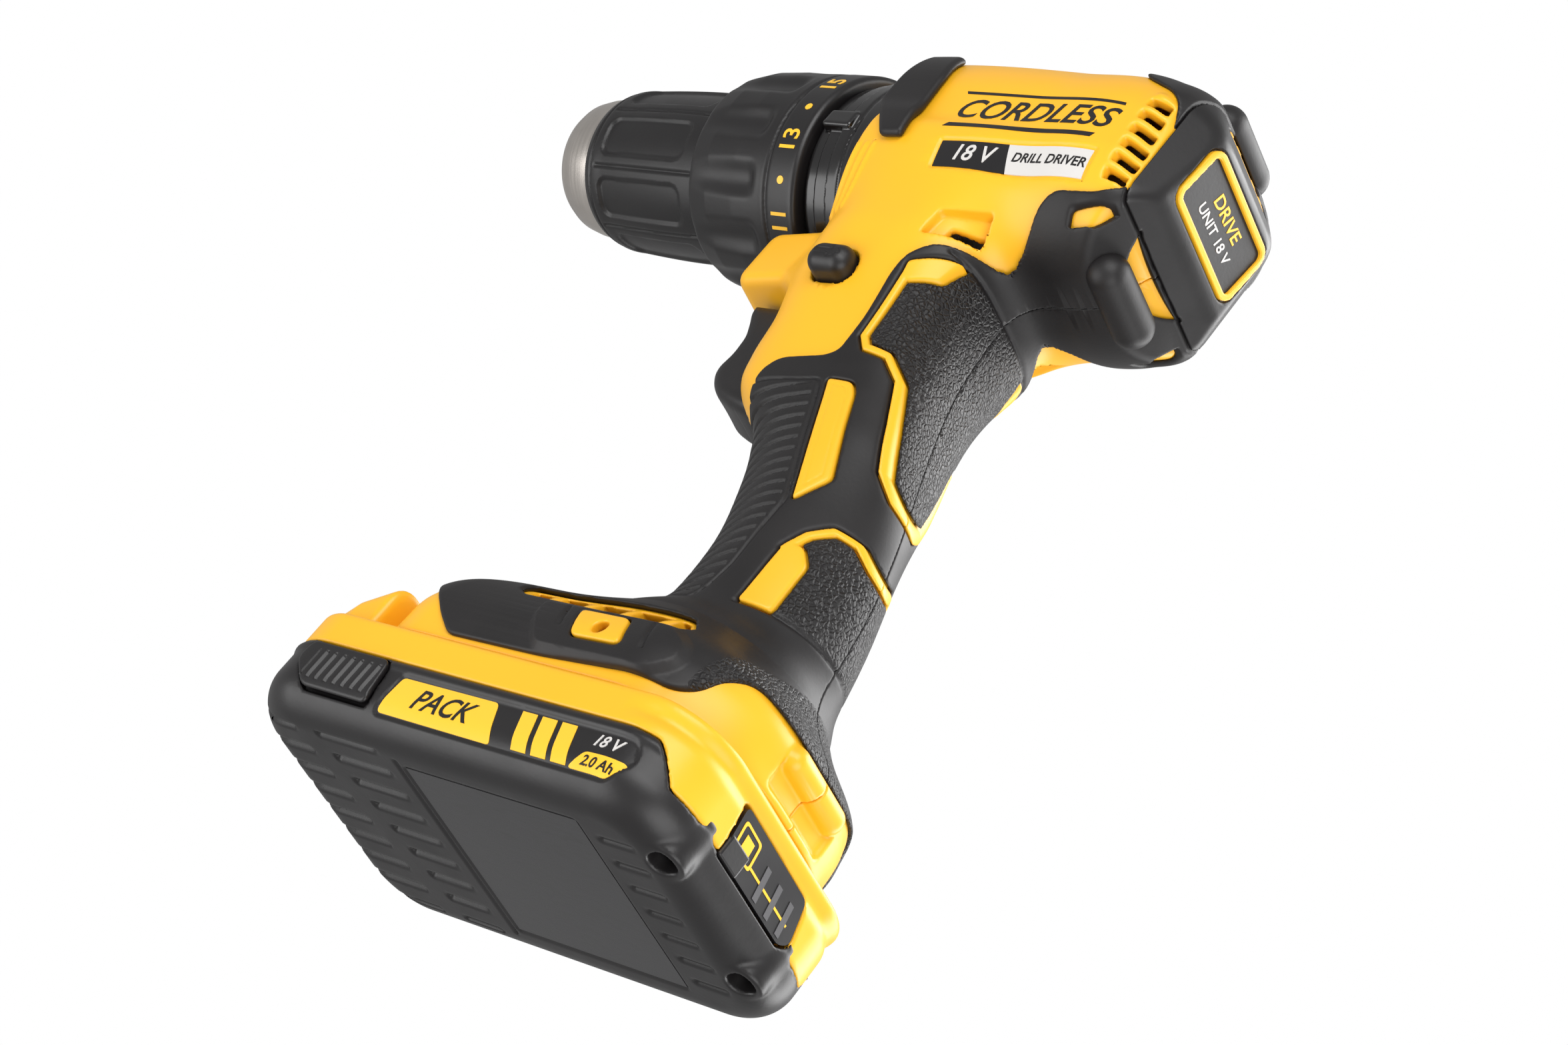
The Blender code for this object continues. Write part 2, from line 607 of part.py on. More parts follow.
def clutch():
    collar = turned("torque_collar", [
        (85.5 * MM, 21 * MM), (85.5 * MM, 25 * MM), (80 * MM, 26.4 * MM), (69 * MM, COLLAR_RADIUS), (48.8 * MM, COLLAR_RADIUS),
        (48.8 * MM, 22.4 * MM), (82 * MM, 22.4 * MM), (82 * MM, 21 * MM),
    ])
    for i in range(12):
        angle = 2 * math.pi * (i + 0.5) / 12
        y = 31 * MM * math.cos(angle)
        z = AXIS_Z + 31 * MM * math.sin(angle)
        cut(collar, rod(f"scallop_{i}", (62 * MM, y, z), (90 * MM, y, z), 5.6 * MM, 16, guide=True))
    paint(collar, BLACK, 0.5)
    nut = turned("clutch_nut", [
        (72.5 * MM, 15.3 * MM), (72.5 * MM, 22 * MM), (68.5 * MM, 22 * MM), (68.5 * MM, 15.3 * MM),
    ], 40)
    paint(nut, STEEL, 0.4, 1.0)
    spring = coil("clutch_spring", 50.3 * MM, 68.2 * MM, (0, AXIS_Z), 18.6 * MM, 1.3 * MM, 5)
    paint(spring, STEEL, 0.3, 1.0)


def jaw_frames():
    for number in range(3):
        place = math.radians(90 + 120 * number)
        out = Vector((0, math.cos(place), math.sin(place)))
        forward = Vector((math.cos(JAW_LEAN), 0, 0)) - out * math.sin(JAW_LEAN)
        yield number + 1, out, forward


def chuck():
    body = turned("chuck_body", [
        (127.7 * MM, 0), (127.7 * MM, 17.45 * MM), (84 * MM, 17.45 * MM), (84 * MM, 0),
    ])
    cut(body, rod("spindle_bore", (80 * MM, 0, AXIS_Z), (92.5 * MM, 0, AXIS_Z), 6.3 * MM, 32, guide=True))
    cut(body, rod("bit_bore", (101 * MM, 0, AXIS_Z), (131 * MM, 0, AXIS_Z), 6.63 * MM, 30, guide=True))
    paint(body, STEEL, 0.35, 1.0)
    nose = turned("nose_ring", [
        (NOSE_X, 10.4 * MM), (NOSE_X, 13 * MM), (139 * MM, 15.6 * MM), (134 * MM, 17 * MM), (128 * MM, NOSE_RADIUS),
        (128 * MM, 10.4 * MM),
    ])
    paint(nose, STEEL, 0.3, 1.0)
    sleeve = turned("chuck_sleeve", [
        (127.8 * MM, 17.9 * MM), (127.8 * MM, 18.4 * MM), (124 * MM, SLEEVE_RADIUS), (80.3 * MM, SLEEVE_RADIUS), (80.3 * MM, 18.3 * MM),
        (124 * MM, 18.3 * MM),
    ])
    paint(sleeve, BLACK, 0.5)
    for number, out, forward in jaw_frames():
        jaw(number, out, forward, body)


def jaw(number, out, forward, body):
    """A round jaw whose inner side is a wedge of 120 degrees along the drive axis."""
    name = f"jaw_{number}"
    axis = Vector((0, 0, AXIS_Z))
    tip = axis + Vector((JAW_TIP_X, 0, 0)) + out * (JAW_OPEN + 0.75 * JAW_RADIUS)
    back = tip - forward * JAW_LENGTH
    bore = rod(name + "_bore", back - forward * 13 * MM, tip + forward * 30 * MM, JAW_RADIUS + GAP, 24, guide=True)
    cut(body, bore)
    cutter = bmesh.new()
    side = Vector((1, 0, 0)).cross(out)
    edge = axis + out * JAW_OPEN
    reach = 30 * MM
    corners = [edge, edge + (out * 0.5 + side * 0.866) * reach, edge + side * reach * 2 - out * reach,
               edge - side * reach * 2 - out * reach, edge + (out * 0.5 - side * 0.866) * reach]
    rings = [[cutter.verts.new(corner + Vector((x * MM, 0, 0))) for corner in corners] for x in (80, 160)]
    bridge(cutter, rings)
    wedge = mesh_object(name + "_wedge", cutter, True)
    piece = rod(name, back, tip + forward * 4 * MM, JAW_RADIUS, 24)
    cut(piece, wedge)
    cut(piece, block(name + "_face", (JAW_TIP_X, -40 * MM, AXIS_Z - 40 * MM), (170 * MM, 40 * MM, AXIS_Z + 40 * MM), guide=True))
    paint(piece, STEEL, 0.3, 1.0)


# ---------------------------------------------------------------- battery pack

def pack():
    bottom = box_loft("battery_bottom", [
        (0, 51, 27, 8), (1, 54.9, 30.9, 11.9), (3.3, 57.5, 33.5, 14.5), (8, 59, 35, 16), (15.9, 59, 35, 16),
    ], guide=False)
    cut(bottom, box_loft("cell_space", [(2.4, 47.5, 29.5, 4), (4.4, 51, 32.8, 5), (9, 51.2, 33.2, 5), (30, 51.2, 33.2, 5)]))
    cut(bottom, block("gauge_hole", (-70 * MM, 4.7 * MM, 8.7 * MM), (-50 * MM, 12.3 * MM, 14.3 * MM), guide=True))
    paint(bottom, BLACK, 0.5)
    top = box_loft("battery_top", [
        (16.2, 59, 35, 16), (22, 58.7, 34.7, 15.7), (24.2, 57.4, 33.4, 14.4),
    ], guide=False)
    join(top, block("rail_block", (-42 * MM, -20 * MM, 20 * MM), (45 * MM, 20 * MM, 33 * MM), guide=True))
    join(top, block("front_block", (40 * MM, -26 * MM, 20 * MM), (56 * MM, 26 * MM, 33 * MM), guide=True))
    cut(top, box_loft("top_space", [(10, 51.2, 33.2, 5), (23.2, 51, 32.8, 5)]))
    paint(top, YELLOW, 0.42)
    contacts = block("contact_block", (-2 * MM, -13 * MM, 33.3 * MM), (22 * MM, 13 * MM, 38 * MM), 0.5 * MM)
    paint(contacts, BLACK, 0.5)
    for number, x in enumerate(CELL_X, 1):
        cell = rod(f"cell_{number}", (x, -CELL_HALF, CELL_Z), (x, CELL_HALF, CELL_Z), CELL_RADIUS, 24)
        paint(cell, BLUE, 0.4)
    pack_buttons(bottom)
    pack_screws(bottom)


def pack_buttons(bottom):
    low, high = BUTTON_BOX
    for side, name in ((1, "release_button_left"), (-1, "release_button_right")):
        ys = sorted((low[1] * side, high[1] * side))
        button = block(name, (low[0], ys[0], low[2]), (high[0], ys[1], high[2]), 0.8 * MM)
        window = block(
            name + "_window",
            (low[0] - GAP, min(20 * MM * side, 50 * MM * side), low[2] - GAP),
            (high[0] + GAP, max(20 * MM * side, 50 * MM * side), high[2] + GAP), guide=True,
        )
        cut(bottom, window)
        paint(button, BLACK, 0.6)
    gauge = block("gauge_button", (-59.3 * MM, 5 * MM, 9 * MM), (-55.9 * MM, 12 * MM, 14 * MM), 0.5 * MM)
    paint(gauge, BLACK, 0.5)


def pack_screws(bottom):
    for number, y in enumerate((-17, 17), 1):
        name = f"battery_screw_{number}"
        x = -54.6 * MM
        y = y * MM
        cut(bottom, rod(name + "_hole", (x, y, -2 * MM), (x, y, 20 * MM), 2.6 * MM, 16, guide=True))
        screw = rod(name, (x, y, 3.4 * MM), (x, y, 5.2 * MM), 2.3 * MM, 16)
        join(screw, rod(name + "_shank", (x, y, 4.5 * MM), (x, y, 13.5 * MM), 1.2 * MM, 12, guide=True))
        paint(screw, STEEL, 0.35, 1.0)


def main():
    housing()
    block("board_space", (-34 * MM, -14 * MM, 43 * MM), (3 * MM, 14 * MM, 49.5 * MM), guide=True)
    rear_cap()
    grips()
    front_pads()
    housing_screws()
    led_lens()
    trigger()
    electrics()
    direction_selector()
    speed_selector()
    motor()
    gearbox()
    clutch()
    chuck()
    pack()


main()
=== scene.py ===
"""Looks for the cordless drill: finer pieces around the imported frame, procedural materials, light and camera."""
import math

import bmesh
import bpy
import numpy as np
from mathutils import Matrix, Vector


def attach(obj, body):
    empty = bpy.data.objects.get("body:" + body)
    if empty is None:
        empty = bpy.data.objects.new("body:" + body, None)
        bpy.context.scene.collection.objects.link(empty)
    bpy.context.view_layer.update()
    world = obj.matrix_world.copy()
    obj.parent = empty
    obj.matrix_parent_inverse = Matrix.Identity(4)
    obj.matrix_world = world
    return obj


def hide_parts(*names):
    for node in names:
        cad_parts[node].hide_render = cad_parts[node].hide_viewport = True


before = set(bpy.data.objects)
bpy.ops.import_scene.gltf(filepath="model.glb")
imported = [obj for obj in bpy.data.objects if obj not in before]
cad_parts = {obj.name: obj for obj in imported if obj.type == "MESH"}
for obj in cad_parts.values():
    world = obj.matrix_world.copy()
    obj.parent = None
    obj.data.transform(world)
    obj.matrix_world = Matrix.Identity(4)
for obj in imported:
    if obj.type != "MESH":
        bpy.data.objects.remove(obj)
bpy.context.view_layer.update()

MM = 0.001
AXIS_Z = 195.0                 # height of the drive line, in mm like every field below
AXIS = Vector((0, 0, AXIS_Z * MM))


# ---------------------------------------------------------------- distance fields (mm)

def hypot(a, b):
    return np.sqrt(a * a + b * b)


def soft_min(a, b, k):
    h = np.maximum(k - np.abs(a - b), 0) / k
    return np.minimum(a, b) - h * h * k * 0.25


def soft_max(a, b, k):
    return -soft_min(-a, -b, k)


def box_2d(a, b, half_a, half_b, radius):
    """Distance to a rounded rectangle centred on the origin."""
    qa = np.abs(a) - half_a + radius
    qb = np.abs(b) - half_b + radius
    return hypot(np.maximum(qa, 0), np.maximum(qb, 0)) + np.minimum(np.maximum(qa, qb), 0) - radius


def box_3d(x, y, z, low, high, radius=0.0):
    q = []
    for value, lo, hi in zip((x, y, z), low, high):
        q.append(np.abs(value - (lo + hi) / 2) - (hi - lo) / 2 + radius)
    outside = np.sqrt(sum(np.maximum(part, 0) ** 2 for part in q))
    return outside + np.minimum(np.maximum(np.maximum(q[0], q[1]), q[2]), 0) - radius


def capsule(x, y, z, start, end, radius):
    start = np.array(start, float)
    end = np.array(end, float)
    along = end - start
    t = ((x - start[0]) * along[0] + (y - start[1]) * along[1] + (z - start[2]) * along[2]) / along.dot(along)
    t = np.clip(t, 0, 1)
    dx = x - start[0] - t * along[0]
    dy = y - start[1] - t * along[1]
    dz = z - start[2] - t * along[2]
    return np.sqrt(dx * dx + dy * dy + dz * dz) - radius


def polygon(a, b, points):
    """Signed distance to a closed outline, negative inside."""
    best = np.full(np.shape(a), 1e9, np.float32)
    inside = np.zeros(np.shape(a), bool)
    count = len(points)
    for i in range(count):
        pa, pb = points[i]
        qa, qb = points[(i + 1) % count]
        ea, eb = qa - pa, qb - pb
        wa, wb = a - pa, b - pb
        t = np.clip((wa * ea + wb * eb) / (ea * ea + eb * eb), 0, 1)
        da, db = wa - ea * t, wb - eb * t
        best = np.minimum(best, da * da + db * db)
        if eb != 0:
            crossing = ((pb > b) != (qb > b)) & (a < ea * (b - pb) / eb + pa)
            inside ^= crossing
    best = np.sqrt(best)
    return np.where(inside, -best, best)


def polyline(a, b, points):
    """Distance to an open outline."""
    best = np.full(np.shape(a), 1e9, np.float32)
    for (pa, pb), (qa, qb) in zip(points, points[1:]):
        ea, eb = qa - pa, qb - pb
        wa, wb = a - pa, b - pb
        t = np.clip((wa * ea + wb * eb) / (ea * ea + eb * eb), 0, 1)
        da, db = wa - ea * t, wb - eb * t
        best = np.minimum(best, da * da + db * db)
    return np.sqrt(best)


def rounded(points, radius, steps=4):
    """An outline with its corners rounded by arcs of about the given radius."""
    out = []
    count = len(points)
    for i in range(count):
        p = Vector(points[i])
        before = Vector(points[i - 1]) - p
        after = Vector(points[(i + 1) % count]) - p
        reach = min(radius, before.length * 0.48, after.length * 0.48)
        start = p + before.normalized() * reach
        end = p + after.normalized() * reach
        for j in range(steps + 1):
            t = j / steps
            out.append(tuple(start * (1 - t) ** 2 + p * 2 * t * (1 - t) + end * t * t))
    return out


def smooth_line(value, knots, results):
    """A smooth curve through knots: a monotone-looking cubic, read at value."""
    knots = np.array(knots, float)
    results = np.array(results, float)
    slopes = np.gradient(results, knots)
    index = np.clip(np.searchsorted(knots, value) - 1, 0, len(knots) - 2)
    width = knots[index + 1] - knots[index]
    t = np.clip((value - knots[index]) / width, 0, 1)
    t2, t3 = t * t, t * t * t
    return ((2 * t3 - 3 * t2 + 1) * results[index] + (t3 - 2 * t2 + t) * width * slopes[index]
            + (3 * t2 - 2 * t3) * results[index + 1] + (t3 - t2) * width * slopes[index + 1])


# ---------------------------------------------------------------- from a field to a mesh

def surface(field, low, high, step, block=4, slack=1.35):
    """Vertices and quads of the field's zero surface, with vertices drawn onto it."""
    low = np.array(low, float)
    coarse = step * block
    cells = np.ceil((np.array(high) - low) / coarse).astype(int)
    centres = np.stack(np.meshgrid(*[np.arange(n) for n in cells], indexing="ij"), -1).reshape(-1, 3)
    points = low + (centres + 0.5) * coarse
    near = []
    for part in np.array_split(np.arange(len(points)), max(1, len(points) // 400000)):
        p = points[part].astype(np.float32)
        near.append(np.abs(field(p[:, 0], p[:, 1], p[:, 2])) < coarse * 0.87 * slack)
    active = centres[np.concatenate(near)]
    fine = np.stack(np.meshgrid(*[np.arange(block + 1)] * 3, indexing="ij"), -1)
    stride = cells * block + 2
    cell_keys, cell_points, quads = [], [], []
    edge_sets = []
    for part in np.array_split(np.arange(len(active)), max(1, len(active) // 8000)):
        base = active[part][:, None, None, None, :] * block + fine[None]
        p = (low + base * step).astype(np.float32)
        d = field(p[..., 0], p[..., 1], p[..., 2])
        inside = d < 0
        corner = [(i, j, k) for i in (0, 1) for j in (0, 1) for k in (0, 1)]
        n = block
        total = sum(inside[:, i:n + i, j:n + j, k:n + k].astype(np.int8) for i, j, k in corner)
        mixed = (total > 0) & (total < 8)
        where = np.nonzero(mixed)
        origin = base[where[0], where[1], where[2], where[3]]
        corner_d = np.stack([d[where[0], where[1] + i, where[2] + j, where[3] + k] for i, j, k in corner], 1)
        offset = np.zeros((len(origin), 3))
        count = np.zeros(len(origin))
        for a in range(8):
            for axis in range(3):
                if corner[a][axis]:
                    continue
                b = a + (4, 2, 1)[axis]
                da, db = corner_d[:, a], corner_d[:, b]
                crossing = (da < 0) != (db < 0)
                t = np.where(crossing, da / np.where(crossing, da - db, 1), 0)
                position = np.tile(np.array(corner[a], float), (len(origin), 1))
                position[:, axis] += t
                offset += position * crossing[:, None]
                count += crossing
        cell_keys.append((origin[:, 0] * stride[1] + origin[:, 1]) * stride[2] + origin[:, 2])
        cell_points.append(low + (origin + offset / count[:, None]) * step)
        for axis in range(3):
            ahead = [slice(0, n)] * 3
            ahead[axis] = slice(1, n + 1)
            first = inside[:, :n, :n, :n]
            second = inside[(slice(None), *ahead)]
            where = np.nonzero(first != second)
            edge = base[where[0], where[1], where[2], where[3]]
            edge_sets.append((axis, edge, first[where]))
    keys = np.concatenate(cell_keys)
    verts = np.concatenate(cell_points)
    order = np.argsort(keys)
    sorted_keys = keys[order]
    for axis, edge, solid_first in edge_sets:
        u, v = [(1, 2), (2, 0), (0, 1)][axis]
        corners = []
        for du, dv in ((0, 0), (-1, 0), (-1, -1), (0, -1)):
            cell = edge.copy()
            cell[:, u] += du
            cell[:, v] += dv
            key = (cell[:, 0] * stride[1] + cell[:, 1]) * stride[2] + cell[:, 2]
            place = np.clip(np.searchsorted(sorted_keys, key), 0, len(sorted_keys) - 1)
            corners.append(np.where(sorted_keys[place] == key, order[place], -1))
        quad = np.stack(corners, 1)
        quad = np.where(solid_first[:, None], quad, quad[:, ::-1])
        quads.append(quad[(quad >= 0).all(1)])
    quads = np.concatenate(quads)
    for _ in range(2):
        verts = settle(field, verts, step)
    return verts, quads


def settle(field, verts, step):
    """One Newton step of each vertex onto the surface."""
    p = verts.astype(np.float32)
    e = np.float32(step * 0.25)
    d = field(p[:, 0], p[:, 1], p[:, 2])
    gradient = np.stack([
        field(p[:, 0] + e, p[:, 1], p[:, 2]) - field(p[:, 0] - e, p[:, 1], p[:, 2]),
        field(p[:, 0], p[:, 1] + e, p[:, 2]) - field(p[:, 0], p[:, 1] - e, p[:, 2]),
        field(p[:, 0], p[:, 1], p[:, 2] + e) - field(p[:, 0], p[:, 1], p[:, 2] - e),
    ], 1) / (2 * e)
    size = np.maximum((gradient ** 2).sum(1), 0.2)
    move = -(d / size)[:, None] * gradient
    reach = np.linalg.norm(move, axis=1)
    move *= np.minimum(1, step * 0.6 / np.maximum(reach, 1e-6))[:, None]
    return verts + move


SOLVED = {}                    # surfaces found so far, so that the right side can mirror the left


def field_piece(name, field, low, high, step=0.5, mirror=False, faces=190000):
    """A mesh object from a field; mirror flips it to the right side. faces caps its triangles."""
    if field not in SOLVED:
        SOLVED[field] = surface(field, low, high, step * (1.0))
    verts, quads = SOLVED[field]
    used = np.unique(quads)
    lookup = np.full(len(verts), -1)
    lookup[used] = np.arange(len(used))
    verts = verts[used]
    quads = lookup[quads]
    if mirror:
        verts = verts * (1, -1, 1)
        quads = quads[:, ::-1]
    mesh = bpy.data.meshes.new(name)
    mesh.vertices.add(len(verts))
    mesh.vertices.foreach_set("co", (verts * MM).astype(np.float32).ravel())
    mesh.loops.add(len(quads) * 4)
    mesh.loops.foreach_set("vertex_index", quads.astype(np.int32).ravel())
    mesh.polygons.add(len(quads))
    mesh.polygons.foreach_set("loop_start", np.arange(0, len(quads) * 4, 4, dtype=np.int32))
    mesh.polygons.foreach_set("use_smooth", np.ones(len(quads), bool))
    mesh.update(calc_edges=True)
    mesh.validate()
    piece = bpy.data.objects.new(name, mesh)
    bpy.context.scene.collection.objects.link(piece)
    if len(quads) * 2 > faces:
        thin = piece.modifiers.new("thin", "DECIMATE")
        thin.ratio = faces / (len(quads) * 2)
        graph = bpy.context.evaluated_depsgraph_get()
        lighter = bpy.data.meshes.new_from_object(piece.evaluated_get(graph))
        piece.modifiers.clear()
        piece.data = lighter
        bpy.data.meshes.remove(mesh)
        lighter.name = name
    return piece


# ---------------------------------------------------------------- the drill's outer form

def barrel(x, y, z):
    """The motor barrel: a rounded box section that draws in towards the rear."""
    half_height = smooth_line(x, (-50, -46, -42, -34, -10, 24, 34), (16.6, 20.9, 24, 26.4, 27.8, 28.2, 28))
    half_width = smooth_line(x, (-50, -46, -42, -34, -10, 24, 34), (17.5, 22, 25.4, 27.8, 28.6, 28.6, 28.0))
    middle = smooth_line(x, (-50, -34, 0, 34), (193.8, 194.3, 194.7, 194.8))
    radius = np.minimum(half_height, half_width) * 0.8
    qy = np.abs(y) - half_width + radius
    qz = np.abs(z - middle) - half_height + radius
    section = hypot(np.maximum(qy, 0), np.maximum(qz, 0)) + np.minimum(np.maximum(qy, qz), 0) - radius
    rear = (-48.5 - x) + 0.115 * (z - AXIS_Z) * -1
    form = soft_max(section * 0.93, rear, 3.0)
    form = soft_max(form, (-x - 49.4) * 0.8 + (z - 207.5) * 0.6 + 0.7, 1.2)
    form = soft_max(form, (-x - 47.4) * 0.8 + (183 - z) * 0.6 + 0.7, 1.2)
    return soft_max(form, (-x - 49) * 0.75 + (np.abs(y) - 16.5) * 0.66 + 0.7, 1.2)


def spine(x, y, z):
    """The flat ridge along the top, with its higher block over the gear case."""
    ridge = soft_max(box_2d(y, z - 205 + (30 - x) * 0.03, 15.5, 18.4, 5), np.maximum(-34 - x + (z - 205) * 0.35, x - 33), 2)
    block = soft_max(box_2d(y, z - 206, 13, 20.4, 3.5), np.maximum(30 - x, x - 48), 2.5)
    return ridge, block


def oval(across, y, half_length, half_width, power):
    """Distance to a superellipse section, from its level and its slope."""
    a = np.abs(across) / half_length
    b = np.abs(y) / half_width
    level = (a ** power + b ** power + 1e-9) ** (1 / power)
    slope = np.sqrt((a / np.maximum(level, 1e-6)) ** 2 / half_length ** 2
                    + (b / np.maximum(level, 1e-6)) ** 2 / half_width ** 2)
    return np.minimum((level - 1) / np.maximum(slope, 1e-4) * 0.85, 40)


def handle(x, y, z):
    """Neck and grip: an oval section whose middle follows the rake of the handle."""
    heights = (50, 62, 76, 92, 104, 116, 128, 138, 150, 162, 175)
    rear = smooth_line(z, heights, (-41, -40, -37.6, -32.8, -28.2, -23.5, -19.2, -16.5, -15, -15, -18))
    steps = (50, 62, 76, 92, 104, 110, 116, 122, 128, 138, 150, 162, 175)
    front = smooth_line(z, steps, (3, 2, 3.5, 8.5, 12.5, 15.5, 23.5, 29.3, 31, 31.6, 34, 33, 31))
    half_width = smooth_line(z, heights, (19, 17.4, 17, 16.6, 16.6, 16.8, 17.6, 19.2, 22, 25, 26))
    power = smooth_line(z, (50, 104, 116, 150, 175), (2.1, 2.1, 2.8, 3.0, 3.0))
    section = oval(x - (rear + front) / 2, y, (front - rear) / 2, half_width, power)
    return soft_max(section, np.maximum(45 - z, z - 185), 2)


def nose(x, y, z):
    """The part of the housing that reaches forward over the trigger and under the gear case."""
    half_width = smooth_line(x, (10, 30, 50), (18, 15.5, 12.5))
    section = soft_max(np.abs(y) - half_width, np.maximum(150.4 - z, z - 167.2), 3)
    return soft_max(section, np.maximum(x - 52.5, 5 - x), 4)


def foot(x, y, z):
    """The foot over the battery: a long rounded box whose top slopes up to the handle."""
    half_length = smooth_line(z, (20, 28, 36, 42, 47, 52), (48.5, 48.3, 47.7, 45.4, 39, 31))
    half_width = smooth_line(z, (20, 28, 36, 42, 47, 52), (33.4, 33.2, 32.5, 30, 26, 21))
    middle = smooth_line(z, (20, 36, 50), (-9.5, -9.5, -12))
    radius = smooth_line(x, (-40, -20, 20, 40), (29.5, 24, 14, 12))
    section = box_2d_var(x - middle, y, half_length, half_width, radius)
    top = z - smooth_line(x, (-60, -45, -20, 10, 30, 40), (38, 46, 50, 49, 46.5, 44.5))
    return soft_max(soft_max(section * 0.85, top, 6), 24.6 - z, 1.0)


def box_2d_var(a, b, half_a, half_b, radius):
    qa = np.abs(a) - half_a + radius
    qb = np.abs(b) - half_b + radius
    return hypot(np.maximum(qa, 0), np.maximum(qb, 0)) + np.minimum(np.maximum(qa, qb), 0) - radius


def body(x, y, z):
    """The whole outer form of the housing, before overmould and openings."""
    ridge, block = spine(x, y, z)
    form = soft_min(soft_max(barrel(x, y, z), x - 30.0, 1.0), soft_max(handle(x, y, z), x - np.interp(z, (150, 162), (34.6, 31)), 2), 8)
    form = soft_min(form, foot(x, y, z), 12)
    form = soft_min(form, nose(x, y, z), 4)
    form = soft_max(form, np.where(x > 29, 26.3 - hypot(y, z - AXIS_Z), -20), 0.5)
    form = soft_min(form, ridge, 3)
    return np.minimum(form, block)


# ---------------------------------------------------------------- side view regions (x, z in mm)
# They are drawn for the left side. The right side is the mirror of the left.

OVERMOULD = rounded([
    (-60, 236), (-27, 236), (-27, 215), (-31, 211.6), (-38, 208.8), (-41.6, 206), (-43.4, 200), (-44.6, 190),
    (-44.6, 183.5), (-42.8, 179.8), (-38.7, 177.2), (-29, 175.5), (-26.1, 173), (-23, 168), (-16, 162.8),
    (-7, 158.4), (-2.6, 153.6), (-1.6, 149), (-1.6, 137.5), (-0.6, 128.4), (1.8, 126.6), (13, 124.4),
    (16.4, 121), (17.2, 116.5), (15.9, 111.7), (24, 110.6), (44, 110.4), (44, 52), (38, 50),
    (33, 41), (30.9, 37.7), (22.1, 30), (16, 25.8), (-10.2, 26.3), (-42.1, 28.5), (-45.4, 31.2), (-47.2, 37),
    (-50, 39.9), (-54.7, 38.6), (-58, 37), (-74, 36), (-74, 236),
], 2.0)
SIDE_VENT = rounded([(-32.6, 170.2), (-33.4, 174.0), (-42.9, 177.3), (-43.1, 174.6), (-41.0, 172.2)], 1.2)
UPPER_STRIP = [
    (-5.2, 151), (-4.8, 140), (-4.5, 133), (-6.6, 130.5), (-11.9, 130.4), (-16.8, 126.2), (-21.6, 115.5),
    (-26.0, 105), (-29.5, 101.4), (-36, 99),
]
UPPER_TAB = rounded([(-4.2, 152.6), (-13.2, 158.4), (-11.6, 151.6), (-6.2, 148.2), (-4.4, 148.5)], 0.8)
FRONT_INLAY = rounded([(-3.4, 120.6), (-9.6, 121), (-11.6, 118.5), (-20.9, 96.6), (-17.8, 88.2)], 1.2)
LOWER_INLAY = rounded([(-25.3, 60.6), (-32, 61.6), (-30.2, 75.1), (-27.2, 78.8), (-24, 78)], 1.2)
LOWER_STRIP = [(-24.7, 76.5), (-26, 82), (-28.4, 86.2), (-32.2, 87), (-35.6, 84.4), (-42, 81)]
RIB_ZONE = rounded([
    (-1.6, 120.2), (5, 119), (44, 115), (44, 57), (-15.5, 57.5), (-17.6, 68.8), (-16.8, 88), (-9, 104),
], 1.5)
GRAIN_UPPER = [
    (-6, 150), (-12.5, 157.5), (-17, 158), (-22, 149), (-25, 140), (-40, 134), (-46, 104), (-30, 102),
    (-25.6, 106.5), (-17.6, 126), (-12.5, 130), (-6.5, 131),
]
GRAIN_LOWER = [(-26, 79), (-29.5, 85), (-33, 85.8), (-50, 80), (-50, 62.5), (-31, 62.5), (-26.5, 61.5)]
SEAMS = [
    [(-10.5, 158.8), (-16.5, 158.8), (-21.5, 150), (-24.5, 141), (-31, 135)],
    [(-25, 60.2), (-31.6, 61.2), (-39.7, 61.8), (-50, 62)],
    [(-7.8, 38.8), (-10.3, 33.4)],
    [(-30.2, 39.4), (-33.2, 32.8)],
]
FOOT_SLOT = rounded([(12.5, 45.8), (-28.5, 48.6), (-34.6, 43.6), (-33, 41.6), (8.6, 40.8), (12, 42.4)], 1.4)
FOOT_PAD = rounded([(-2.2, 33.8), (0, 39.4), (-34.3, 41), (-39.6, 37.8), (-41, 33.3), (-36.6, 28.2), (-7.5, 27.4)], 2.5)
HOOK_SQUARE = rounded([(-15, 31.4), (-11.6, 38.6), (-24.2, 39.1), (-27.8, 32)], 1.6)
FRONT_PAD = rounded([(15.5, 182), (22, 182), (30.6, 194), (30.6, 213.5), (21, 213.5), (17.5, 203)], 1.5)
LABEL_PLATE = rounded([(5.6, 183.8), (-34.6, 186.6), (-34.2, 178.6), (4.6, 175.8)], 1.0)
SCREWS = [(-30, 214), (18, 172), (-10, 104), (-18, 70)]
VENTS = [(-39.2, 202.7), (-39.4, 198.7), (-39.8, 194.4), (-40.2, 190.1), (-40.5, 185.9), (-40.4, 181.8)]


def band(x, z, line, half_width):
    return polyline(x, z, line) - half_width


def accents_2d(x, z):
    """The yellow strips and inlays that lie in the overmould."""
    region = np.minimum(band(x, z, UPPER_STRIP, 0.85), band(x, z, LOWER_STRIP, 0.85))
    region = np.minimum(region, polygon(x, z, UPPER_TAB))
    region = np.minimum(region, polygon(x, z, FRONT_INLAY))
    return np.minimum(region, polygon(x, z, LOWER_INLAY))


def foot_pad_rise(x, z):
    """How far the dark pad on the foot stands out: 1.1 mm inside, with a rounded edge."""
    return 1.1 * np.clip(0.5 - polygon(x, z, FOOT_PAD) / 1.6, 0, 1)


